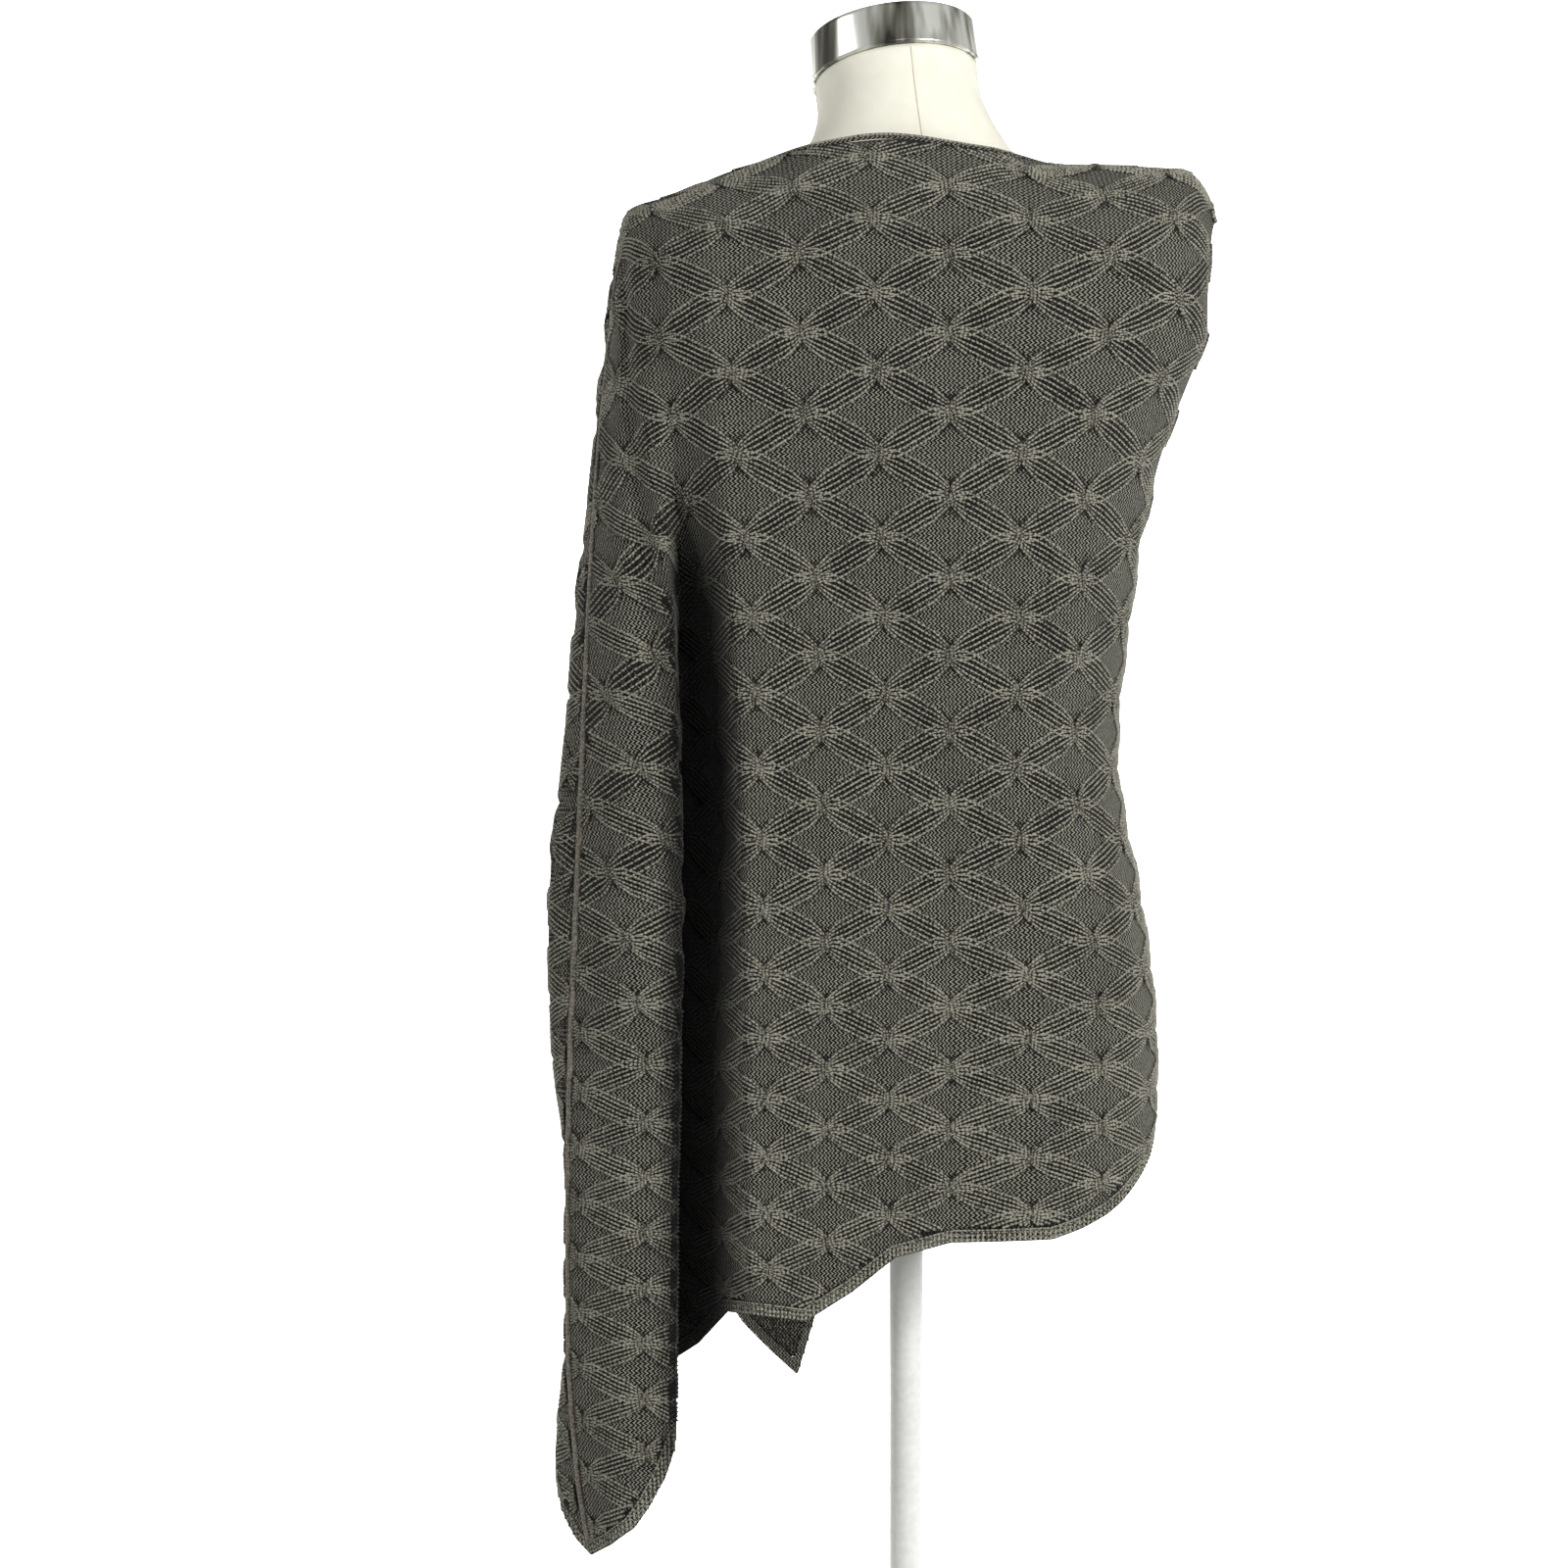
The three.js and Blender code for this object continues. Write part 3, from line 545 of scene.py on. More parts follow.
def lattice_rise(column, row):
    """How far the cable lattice stands out, 0 to 1."""
    swayed = np.floor(column) + sway(column - np.floor(column))
    falling = off_whole(row - swayed / 2)
    rising = off_whole(row + swayed / 2)
    off = np.minimum(np.abs(falling), np.abs(rising))
    strand = np.clip(1 - (off / STRAND_HALF) ** 2, 0, 1) ** STRAND_ROUNDING
    aside = rising - falling
    down = (rising + falling) / 2
    knot = KNOT_RISE * np.exp(-((aside / KNOT_ACROSS) ** 2) - (down / KNOT_DOWN) ** 2)
    return np.maximum(strand, knot)


SLOW_WANDER = 0.9
QUICK_WANDER = 0.35
WANDER_SHARE = 0.6
EDGE_FADE = 9


def wander(column, row):
    """Slight unevenness of hand-hung cloth, in millimetres."""
    slow = np.sin(column * 1.3 + row * 0.9) * np.sin(row * 1.7 - column * 0.6)
    quick = np.sin(column * 4.1 + row * 2.3 + 1) * np.sin(row * 5.1 - column * 2.7)
    return SLOW_WANDER * slow + QUICK_WANDER * quick


def surface(panel, column, height, rise=None):
    """Points of the cloth's face, in metres, standing out by rise millimetres."""
    base = panel.point(column, height)
    out = panel.outward(column, height)
    rise = np.zeros(base.shape[:-1]) if rise is None else rise
    return (base + out * rise[..., None]) * MM


def edge_fade(panel, column, height):
    """0 on the panel's edges, where it meets its bands and seams, rising to 1 inside it."""
    across = np.minimum(column - panel.last, SIDE_COLUMN - column) * COLUMN_WIDTH
    up = np.minimum(panel.top(column) - height, height - panel.hem_at(column) - HEM_WIDTH)
    return np.clip(np.minimum(across, up) / EDGE_FADE, 0, 1)


def new_mesh(name, points, faces, uvs=None):
    mesh = bpy.data.meshes.new(name)
    mesh.from_pydata(points.reshape(-1, 3).tolist(), [], faces)
    if uvs is not None:
        layer = mesh.uv_layers.new(name="UVMap")
        loops = np.empty(len(mesh.loops), dtype=np.int32)
        mesh.loops.foreach_get("vertex_index", loops)
        layer.data.foreach_set("uv", uvs.reshape(-1, 2)[loops].ravel())
    mesh.polygons.foreach_set("use_smooth", [True] * len(mesh.polygons))
    mesh.update()
    return add_object(name, mesh)


def grid_faces(rows, columns, flip, closed=False):
    across = columns if closed else columns - 1
    i, j = np.meshgrid(np.arange(rows - 1), np.arange(across), indexing="ij")
    after = (j + 1) % columns
    quads = np.stack(
        [i * columns + j, (i + 1) * columns + j, (i + 1) * columns + after, i * columns + after],
        axis=-1,
    ).reshape(-1, 4)
    return (quads[:, ::-1] if flip else quads).tolist()


def make_plain(piece):
    """Keeps what the piece's modifier makes as its own mesh."""
    graph = bpy.context.evaluated_depsgraph_get()
    finished = bpy.data.meshes.new_from_object(piece.evaluated_get(graph))
    piece.modifiers.clear()
    piece.data = finished


def thicken(piece, thickness):
    """Gives a sheet its wall, inwards from its face."""
    wall = piece.modifiers.new("wall", "SOLIDIFY")
    wall.thickness = thickness * MM
    wall.offset = -1
    wall.use_even_offset = False
    make_plain(piece)


def cloth_uv(column, height):
    """Courses across and wales down, as in cloth knitted sideways and then turned."""
    return np.stack([column * COLUMN_WIDTH / COURSE, height / WALE], axis=-1)


PANEL_BELOW_SEAM = 1.2
LEAST_CLOTH = 2
KNIT_WALL = WALL - 0.2
# How much of its relief a stitch loses on the wrong side, and under a strand; since the relief is
# painted into the colour, this also paints shade on the wrong side and along a strand's edge
WRONG_SIDE_DIM = 0.3
UNDER_STRAND_DIM = 0.5
UNDER_STRAND = (0.5, 0.85)


def knit_panel(name, panel, across, down, neck_end):
    columns = np.linspace(SIDE_COLUMN, panel.last, across)
    neck = NECK_EDGE_WIDTH + BAND_GAP
    top = panel.top(columns) - np.where(columns >= neck_end, neck, PANEL_BELOW_SEAM)
    low = np.minimum(panel.above_hem(columns, HEM_WIDTH), top - LEAST_CLOTH)
    share = np.linspace(0, 1, down)[:, None]
    height = mix(top[None, :], low[None, :], share)
    column = np.broadcast_to(columns[None, :], height.shape)
    row = row_at(height)
    rise = STRAND_RISE * lattice_rise(column, row) + wander(column, row) * WANDER_SHARE
    rise = rise * edge_fade(panel, column, height)
    points = surface(panel, column, height, rise)
    faces = grid_faces(down, across, panel.inward > 0)
    piece = new_mesh(name, points, faces, cloth_uv(column, height))
    thicken(piece, KNIT_WALL)
    # the face comes first, then the wrong side
    # painted shade: the wrong side, and the cloth along and under the strands, lose relief and so
    # come out darker
    dim = np.full(len(piece.data.vertices), WRONG_SIDE_DIM)
    under_strand = smooth_step(lattice_rise(column, row), *UNDER_STRAND)
    dim[: height.size] = UNDER_STRAND_DIM * under_strand.ravel()
    cabled = piece.data.attributes.new("cabled", "FLOAT", "POINT")
    cabled.data.foreach_set("value", dim)
    return piece


BAND_DOWN = 7


def band(name, panel, across, last, proud, top_of, low_of):
    """A band of cloth along a panel, from the short side to the last column."""
    columns = np.linspace(SIDE_COLUMN, last, across)
    share = np.linspace(0, 1, BAND_DOWN)[:, None]
    height = mix(top_of(columns)[None, :], low_of(columns)[None, :], share)
    column = np.broadcast_to(columns[None, :], height.shape)
    rounded = proud * np.sqrt(np.sin(math.pi * share))
    points = surface(panel, column, height, np.broadcast_to(rounded, height.shape))
    faces = grid_faces(BAND_DOWN, across, panel.inward > 0)
    piece = new_mesh(name, points, faces, cloth_uv(column, height))
    thicken(piece, WALL)
    piece.data.materials.append(wool_purl)
    return piece


def colour(red, green, blue):
    """A screen colour, 0 to 255, as the linear colour that a shader takes."""
    def linear(value):
        value = value / 255
        return value / 12.92 if value <= 0.04045 else ((value + 0.055) / 1.055) ** 2.4

    return (linear(red), linear(green), linear(blue), 1)


def add_node(tree, kind, **settings):
    node = tree.nodes.new(kind)
    for key, value in settings.items():
        setattr(node, key, value)
    return node


def set_inputs(node, **values):
    for name, value in values.items():
        node.inputs[name.replace("_", " ")].default_value = value


class Nodes:
    """A short way to write a material's node tree."""

    def __init__(self, name):
        self.material = bpy.data.materials.new(name)
        self.material.use_nodes = True
        self.tree = self.material.node_tree
        self.shader = self.tree.nodes["Principled BSDF"]

    def add(self, kind, **settings):
        return add_node(self.tree, kind, **settings)

    def link(self, source, target):
        self.tree.links.new(source, target)

    def calculate(self, operation, first, second=None, third=None):
        node = self.add("ShaderNodeMath", operation=operation)
        for socket, value in zip(node.inputs, (first, second, third)):
            if value is None:
                continue
            if isinstance(value, (int, float)):
                socket.default_value = value
            else:
                self.link(value, socket)
        return node.outputs[0]

    def noise(self, source, scale, detail=2.0, roughness=0.5):
        node = self.add("ShaderNodeTexNoise")
        self.link(source, node.inputs["Vector"])
        set_inputs(node, Scale=scale, Detail=detail, Roughness=roughness)
        return node.outputs["Fac"]

    def ramp(self, source, stops):
        stops = list(stops)
        node = self.add("ShaderNodeValToRGB")
        elements = node.color_ramp.elements
        while len(elements) < len(stops):
            elements.new(0.5)
        for element, (place, shade) in zip(elements, stops):
            element.position = place
            element.color = shade
        self.link(source, node.inputs["Fac"])
        return node.outputs["Color"]

    def multiply_colour(self, share, source, shade):
        node = self.add("ShaderNodeMix", data_type="RGBA", blend_type="MULTIPLY")
        sockets = {socket.identifier: socket for socket in node.inputs}
        self.link(share, sockets["Factor_Float"])
        self.link(source, sockets["A_Color"])
        sockets["B_Color"].default_value = shade
        return next(socket for socket in node.outputs if socket.identifier == "Result_Color")

    def rise(self, source, low, high):
        """0 below low, 1 above high, and smooth between them."""
        node = self.add("ShaderNodeMapRange", interpolation_type="SMOOTHSTEP")
        self.link(source, node.inputs["Value"])
        set_inputs(node, From_Min=low, From_Max=high)
        return node.outputs["Result"]

    def bump(self, height, strength, distance, after=None):
        node = self.add("ShaderNodeBump")
        set_inputs(node, Strength=strength, Distance=distance)
        self.link(height, node.inputs["Height"])
        if after is not None:
            self.link(after, node.inputs["Normal"])
        return node.outputs["Normal"]


# Ends of the wool's colour ramp: the mid tone is the yarn's own, the dark end is also painted shade
# in the dips of the stitches and the light end a painted highlight on their tops
WOOL_DARK_AND_SHADE = colour(9, 9, 8)
WOOL_MID = colour(58, 56, 50)
WOOL_LIGHT_AND_HIGHLIGHT = colour(158, 156, 141)
# Grain of the wool, in waves a metre, and how much of its shade comes from each
HEATHER_GRAIN = 620
HEATHER_SHARE = 1.3
CLOUD_GRAIN = 26
CLOUD_SHARE = 0.25
MIDDLE_SHADE = 0.5 - (HEATHER_SHARE + CLOUD_SHARE) / 2
FUZZ_GRAIN = 1500
FUZZ_DEPTH = 0.0006
WOOL_STOPS = (0.33, 0.56, 0.82)

# The deep fold beside the hanging flap, in metres: the wool in it is darkened by painted shade
FOLD_MOUTH = -0.118
FOLD_DEEP = -0.085
FOLD_BACK = (0.01, 0.04)
FOLD_LEFT = (-0.176, -0.158)
FOLD_RIGHT = (-0.118, -0.1)
FOLD_TOP = (0.8, 0.93)
FOLD_PAINTED_SHADE = (0.09, 0.09, 0.09, 1)


# Painted shade inside the deep fold: 1 within it, fading to 0 at its mouth, its sides, its back and
# its top
def painted_fold_shade(n, place):
    split = n.add("ShaderNodeSeparateXYZ")
    n.link(place, split.inputs[0])
    shade = n.rise(split.outputs["Y"], FOLD_MOUTH, FOLD_DEEP)
    shade = n.calculate("MULTIPLY", shade, n.rise(split.outputs["X"], *FOLD_LEFT))
    for axis, limits in (("Y", FOLD_BACK), ("X", FOLD_RIGHT), ("Z", FOLD_TOP)):
        within = n.calculate("SUBTRACT", 1.0, n.rise(split.outputs[axis], *limits))
        shade = n.calculate("MULTIPLY", shade, within)
    return shade


def wool(name, stitch, dark=WOOL_DARK_AND_SHADE, mid=WOOL_MID, light=WOOL_LIGHT_AND_HIGHLIGHT, depth=0.0012, shown=0.95):
    """Heathered wool. stitch gives the knit's own relief from the tree, which is bumped and also
    painted into the colour: painted shade in its dips, a painted highlight on its tops.
    """
    n = Nodes(name)
    place = n.add("ShaderNodeTexCoord").outputs["Object"]
    heather = n.noise(place, HEATHER_GRAIN, 3, 0.65)
    cloudy = n.noise(place, CLOUD_GRAIN, 3, 0.6)
    cloud = n.calculate("MULTIPLY_ADD", cloudy, CLOUD_SHARE, MIDDLE_SHADE)
    blend = n.calculate("MULTIPLY_ADD", heather, HEATHER_SHARE, cloud)
    relief = stitch(n)
    # the relief is painted into the colour: painted shade where it is low, a painted highlight where
    # it is high
    seen = n.calculate("MULTIPLY_ADD", relief, shown, n.calculate("SUBTRACT", blend, shown / 2))
    shade = n.ramp(seen, zip(WOOL_STOPS, (dark, mid, light)))
    # painted shade darkens the wool in the deep fold
    shade = n.multiply_colour(painted_fold_shade(n, place), shade, FOLD_PAINTED_SHADE)
    n.link(shade, n.shader.inputs["Base Color"])
    knit = n.bump(relief, 1.0, depth)
    fuzz = n.bump(n.noise(place, FUZZ_GRAIN, 2, 0.7), 0.35, FUZZ_DEPTH, knit)
    n.link(fuzz, n.shader.inputs["Normal"])
    set_inputs(n.shader, Roughness=0.95, Specular_IOR_Level=0.15)
    set_inputs(n.shader, Sheen_Weight=0.06, Sheen_Roughness=0.6)
    return n.material


PURL_ZIGZAG = 1.5
PURL_UNEVEN = 1.2


def purl_relief(n):
    """Reverse stocking stitch: small arcs that link into zigzag lines down the cloth."""
    uv = n.add("ShaderNodeUVMap", uv_map="UVMap").outputs["UV"]
    uneven = n.noise(uv, 0.35, 2, 0.5)
    split = n.add("ShaderNodeSeparateXYZ")
    n.link(uv, split.inputs[0])
    zigzag = n.calculate("PINGPONG", split.outputs["Y"], 0.5)
    aside = n.calculate("MULTIPLY_ADD", zigzag, PURL_ZIGZAG, split.outputs["X"])
    aside = n.calculate("MULTIPLY_ADD", uneven, PURL_UNEVEN, aside)
    wave = n.calculate("SINE", n.calculate("MULTIPLY", aside, 2 * math.pi))
    relief = n.calculate("MULTIPLY_ADD", wave, 0.5, 0.5)
    # less relief on the wrong side and at the strands, which paints shade there
    cabled = n.add("ShaderNodeAttribute", attribute_name="cabled").outputs["Fac"]
    return n.calculate("MULTIPLY", relief, n.calculate("SUBTRACT", 1.0, cabled))


CORD_GRAIN = 240
CORD_UNEVEN = 5.0
# A rib's lowest side lies at -0.5 of its radius, and its crest at 1; the crest gets a painted
# highlight and the lowest side painted shade
CREST_SHARE = 0.667
CREST_POWER = 0.8
STITCH_SHOWN = 0.15
# How much painted shade darkens the ribs where they crowd at a knot
KNOT_PAINTED_SHADE = 0.15


def cord_relief(n):
    """Knit stitches along a rib, with a painted highlight on its crest and painted shade in the
    groove to its neighbour and between its stitches.
    """
    along = n.add("ShaderNodeAttribute", attribute_name="along").outputs["Fac"]
    proud = n.add("ShaderNodeAttribute", attribute_name="proud").outputs["Fac"]
    uneven = n.noise(n.add("ShaderNodeTexCoord").outputs["Object"], CORD_GRAIN, 1, 0.5)
    uneven = n.calculate("MULTIPLY", uneven, CORD_UNEVEN)
    turns = n.calculate("MULTIPLY_ADD", along, 2 * math.pi / (STITCH * MM), uneven)
    wave = n.calculate("SINE", turns)
    crest = n.calculate("MULTIPLY_ADD", proud, CREST_SHARE, 1 - CREST_SHARE)
    crest = n.calculate("POWER", n.calculate("MAXIMUM", crest, 0.0), CREST_POWER)
    crest = n.calculate("MULTIPLY", crest, 1 - STITCH_SHOWN)
    relief = n.calculate("MULTIPLY_ADD", wave, STITCH_SHOWN, crest)
    # painted shade where the ribs crowd at a knot
    knot = n.add("ShaderNodeAttribute", attribute_name="knot").outputs["Fac"]
    return n.calculate("MULTIPLY", relief, n.calculate("MULTIPLY_ADD", knot, -KNOT_PAINTED_SHADE, 1.0))


wool_purl = wool("wool_purl", purl_relief)
# On the ribs and seams the dark end is painted shade in the grooves and the light end a painted
# highlight on the crests
wool_rib = wool(
    "wool_rib",
    cord_relief,
    dark=colour(16, 15, 13),
    mid=colour(66, 64, 57),
    light=colour(162, 160, 145),
    depth=0.0006,
    shown=0.9,
)
wool_seam = wool(
    "wool_seam",
    cord_relief,
    dark=colour(72, 68, 61),
    mid=colour(112, 107, 97),
    light=colour(158, 152, 139),
    depth=0.0004,
    shown=0.3,
)


CORD_SOCKETS = [
    ("Paths", "INPUT", "NodeSocketGeometry"),
    ("Cord radius", "INPUT", "NodeSocketFloat"),
    ("Flatness", "INPUT", "NodeSocketFloat"),
    ("Sides", "INPUT", "NodeSocketInt"),
    ("Cords", "OUTPUT", "NodeSocketGeometry"),
]


def cord_tree(material):
    """Turns drawn paths into round cords: one tree for ribs, edges and seam lines."""
    tree = bpy.data.node_groups.new("cords_" + material.name, "GeometryNodeTree")
    for name, way, kind in CORD_SOCKETS:
        tree.interface.new_socket(name, in_out=way, socket_type=kind)
    inside = add_node(tree, "NodeGroupInput")
    outside = add_node(tree, "NodeGroupOutput")
    to_curve = add_node(tree, "GeometryNodeMeshToCurve")
    outward = add_node(tree, "GeometryNodeInputNamedAttribute", data_type="FLOAT_VECTOR")
    set_inputs(outward, Name="outward")
    upright = add_node(tree, "GeometryNodeSetCurveNormal", mode="FREE")
    parameter = add_node(tree, "GeometryNodeSplineParameter")
    store, crest = (
        add_node(tree, "GeometryNodeStoreNamedAttribute", data_type="FLOAT", domain="POINT")
        for _ in range(2)
    )
    set_inputs(store, Name="along")
    set_inputs(crest, Name="proud")
    circle = add_node(tree, "GeometryNodeCurvePrimitiveCircle")
    place = add_node(tree, "GeometryNodeInputPosition")
    split = add_node(tree, "ShaderNodeSeparateXYZ")
    share = add_node(tree, "ShaderNodeMath", operation="DIVIDE")
    squash = add_node(tree, "ShaderNodeCombineXYZ")
    set_inputs(squash, Y=1, Z=1)
    flatten = add_node(tree, "GeometryNodeTransform")
    sweep = add_node(tree, "GeometryNodeCurveToMesh")
    set_inputs(sweep, Fill_Caps=True)
    shade = add_node(tree, "GeometryNodeSetShadeSmooth")
    realize = add_node(tree, "GeometryNodeRealizeInstances")
    finish = add_node(tree, "GeometryNodeSetMaterial")
    set_inputs(finish, Material=material)
    link = tree.links.new
    main = [inside, to_curve, upright, store, sweep, shade, realize, finish, outside]
    for chain in (main, [circle, crest, flatten], [place, split, share]):
        for before, after in zip(chain, chain[1:]):
            link(before.outputs[0], after.inputs[0])
    link(outward.outputs["Attribute"], upright.inputs["Normal"])
    link(parameter.outputs["Length"], store.inputs["Value"])
    link(inside.outputs["Cord radius"], circle.inputs["Radius"])
    link(inside.outputs["Sides"], circle.inputs["Resolution"])
    link(inside.outputs["Cord radius"], share.inputs[1])
    link(share.outputs["Value"], crest.inputs["Value"])
    link(inside.outputs["Flatness"], squash.inputs["X"])
    link(squash.outputs["Vector"], flatten.inputs["Scale"])
    link(flatten.outputs["Geometry"], sweep.inputs["Profile Curve"])
    return tree


cord_trees = {}


def cords(name, paths, radius, sides, material, flatness=1.0):
    """Round cords along the paths.

    A path is its points in metres, the way that faces out and, on a strand, how near its knots are.
    """
    points = []
    outward = []
    knots = []
    edges = []
    for path, out, *knot in paths:
        start = len(points)
        points.extend(map(tuple, path))
        outward.append(out)
        knots.append(knot[0] if knot else np.zeros(len(path)))
        edges.extend((i, i + 1) for i in range(start, len(points) - 1))
    mesh = bpy.data.meshes.new(name)
    mesh.from_pydata(points, edges, [])
    facing = mesh.attributes.new("outward", "FLOAT_VECTOR", "POINT")
    facing.data.foreach_set("vector", np.concatenate(outward).ravel())
    # nearness to a knot, which the rib wool turns into painted shade
    pinched = mesh.attributes.new("knot", "FLOAT", "POINT")
    pinched.data.foreach_set("value", np.concatenate(knots))
    piece = add_object(name, mesh)
    if material.name not in cord_trees:
        cord_trees[material.name] = cord_tree(material)
    tree = cord_trees[material.name]
    modifier = piece.modifiers.new("cords", "NODES")
    modifier.node_group = tree
    sockets = {s.name: s.identifier for s in tree.interface.items_tree if s.in_out == "INPUT"}
    modifier[sockets["Cord radius"]] = radius * MM
    modifier[sockets["Flatness"]] = flatness
    modifier[sockets["Sides"]] = sides
    make_plain(piece)
    return piece


WALES_OF_STRAND = (-2.5, -1.5, -0.5, 0.5, 1.5, 2.5)
RIB_PITCH = 3.5
FULL_ROW = 48
RIB_RADIUS = 2.25
RIB_FLATNESS = 0.75
OVER_RISE = 1.1
UNDER_SINK = 0.4
RIB_SEAT = 0.4
# Places along a strand, closer together at its knots
STRAND_SHARES = np.array([0, 0.04, 0.09, 0.15, 0.24, 0.37, 0.5, 0.63, 0.76, 0.85, 0.91, 0.96, 1])
# A strand is drawn narrow at its knots, and its ribs spread to their full pitch between them
NARROW_AT_KNOT = 0.36
FULL_FROM = 0.7
KNOT_REACH = 0.14
# Clear of the panel's seams, in columns, and of its neck edge, side and hem, in millimetres
RIBS_OFF_SEAM = 0.05
RIBS_OFF_NECK = 7.5
RIBS_OFF_SIDE = 3
RIBS_OFF_HEM = 1
LEAST_PLACES = 3


def strand_paths(panel, neck_end, way):
    """Paths of the ribs of the cable strands that run down this way, crossing to crossing."""
    share = STRAND_SHARES
    swell = mix(NARROW_AT_KNOT, 1, np.minimum(np.sin(math.pi * share) / FULL_FROM, 1))
    close_to_knot = 1 - smooth_step(np.minimum(share, 1 - share), 0.0, KNOT_REACH)
    columns, rows_down, lifts = [], [], []
    first_row, last_row = int(ROWS.min()) - 1, int(ROWS.max()) + 2
    for start_column in range(int(panel.last) - 1, int(SIDE_COLUMN) + 2):
        odd = start_column % 2 == 1
        for whole in range(first_row, last_row):
            row = whole + (0.5 if odd else 0.0) + 0.5 * sway(share)
            ends = height_of_row(row[[0, -1]])
            pitch = 2 * float(ends[0] - ends[1])
            if pitch < 1:
                continue
            slant = np.gradient(row * pitch, share * COLUMN_WIDTH)
            spread = swell * np.sqrt(1 + np.minimum(slant, 1) ** 2)
            # close rows draw the strands narrower
            rib_pitch = RIB_PITCH * min(pitch / FULL_ROW, 1)
            # the strand that rises to the right lies on top at even columns
            over_at_start = (way < 0) != odd
            from_top = 1 - share if over_at_start else share
            lift = np.where(from_top > 0.5, OVER_RISE, -UNDER_SINK) * close_to_knot
            for wale in WALES_OF_STRAND:
                columns.append(start_column + way * share)
                rows_down.append(row + wale * rib_pitch * spread / pitch)
                lifts.append(lift)
    column = np.array(columns)
    height = height_of_row(np.array(rows_down))
    held = np.clip(column, panel.last + RIBS_OFF_SEAM, SIDE_COLUMN - RIBS_OFF_SEAM)
    top = panel.top(held) - np.where(held >= neck_end, RIBS_OFF_NECK, RIBS_OFF_SIDE)
    low = panel.above_hem(held, HEM_WIDTH) + RIBS_OFF_HEM
    inside = (held == column) & (height < top) & (height > low)
    some = inside.sum(axis=1) >= LEAST_PLACES
    column, height, held, inside = column[some], height[some], held[some], inside[some]
    rise = STRAND_RISE * RIB_SEAT + np.array(lifts)[some]
    rise = rise + wander(held, row_at(height)) * WANDER_SHARE
    points = surface(panel, held, height, rise)
    outward = panel.outward(held, height)
    paths = []
    for line, out, shown in zip(points, outward, inside):
        runs = np.flatnonzero(shown)
        if runs[-1] - runs[0] + 1 == len(runs):
            run = slice(runs[0], runs[-1] + 1)
            paths.append((line[run], out[run], close_to_knot[run]))
    return paths


HEM_RIB_STEP = 3.1
HEM_RIB_INSET = 0.02
HEM_RIB_PLACES = 4
HEM_RIB_RISE = -0.3
HEM_RIB_RADIUS = 1.4
HEM_RIB_TOP = 1
HEM_RIB_FOOT = 0.8


def hem_rib_paths(panel):
    """Short ribs that cross the hem band, one every few millimetres."""
    first, last = SIDE_COLUMN - HEM_RIB_INSET, panel.last + HEM_RIB_INSET
    count = int(abs(first - last) * COLUMN_WIDTH / HEM_RIB_STEP)
    columns = np.linspace(first, last, count)
    share = np.linspace(0, 1, HEM_RIB_PLACES)[None, :]
    top = panel.above_hem(columns, HEM_WIDTH) - HEM_RIB_TOP
    low = panel.hem_at(columns) + HEM_RIB_FOOT
    height = mix(top[:, None], low[:, None], share)
    column = np.broadcast_to(columns[:, None], height.shape)
    points = surface(panel, column, height, np.full(height.shape, HEM_RIB_RISE))
    return list(zip(points, panel.outward(column, height)))


def line_along(panel, last, count, height_of, rise):
    """A line across a panel, from the short side to the last column."""
    column = np.linspace(SIDE_COLUMN, last, count)
    height = height_of(column)
    return surface(panel, column, height, np.full(count, rise)), panel.outward(column, height)


BACK_NECK_END = -4.25
FRONT_NECK_END = -4.0
HEM_ACROSS = 360
NECK_ACROSS = 300
NECK_PROUD = BAND_PROUD + 0.6
LINK_PLACES = 420
LINK_RISE = 0.3
LINK_RADIUS = 0.8
ROLL_PLACES = 300
ROLL_BELOW = 1.2
ROLL_RISE = -0.4
ROLL_RADIUS = 1.9
# Sides of a rib, a hem rib, a linked line and a rolled edge or seam, seen from its end
RIB_SIDES = 3
HEM_RIB_SIDES = 5
LINE_SIDES = 6
ROUND_SIDES = 8


def dress_panel(side, panel, across, down, neck_end):
    """One panel with its bands, ribs and edge, ready to ride."""
    name = "poncho_" + side
    cloth = knit_panel(name, panel, across, down, neck_end)
    cloth.data.materials.append(wool_purl)

    def over_hem(column):
        return panel.above_hem(column, HEM_WIDTH)

    def under_edge(column):
        return panel.top(column) - ROLL_BELOW

    def hem_top(column):
        return panel.above_hem(column, HEM_WIDTH - BAND_GAP + 1)

    def neck_low(column):
        return panel.top(column) - NECK_EDGE_WIDTH - 0.5

    hem = band(
        "hem_band_knit_" + side, panel, HEM_ACROSS, panel.last, BAND_PROUD, hem_top, panel.hem_at
    )
    neck = band(
        "neck_edge_knit_" + side, panel, NECK_ACROSS, neck_end, NECK_PROUD, panel.top, neck_low
    )
    ribs = []
    for lean, way in (("falling", 1), ("rising", -1)):
        paths = strand_paths(panel, neck_end, way)
        rib_name = "cable_ribs_%s_%s" % (lean, side)
        ribs.append(cords(rib_name, paths, RIB_RADIUS, RIB_SIDES, wool_rib, RIB_FLATNESS))
    hem_paths = hem_rib_paths(panel)
    hem_ribs = cords("hem_ribs_" + side, hem_paths, HEM_RIB_RADIUS, HEM_RIB_SIDES, wool_rib)
    link_path = line_along(panel, panel.last, LINK_PLACES, over_hem, LINK_RISE)
    link_line = cords("hem_link_" + side, [link_path], LINK_RADIUS, LINE_SIDES, wool_rib)
    roll_path = line_along(panel, neck_end, ROLL_PLACES, under_edge, ROLL_RISE)
    rolled = cords("rolled_edge_" + side, [roll_path], ROLL_RADIUS, ROUND_SIDES, wool_rib)
    return cloth, [hem, neck, *ribs, hem_ribs, link_line, rolled]


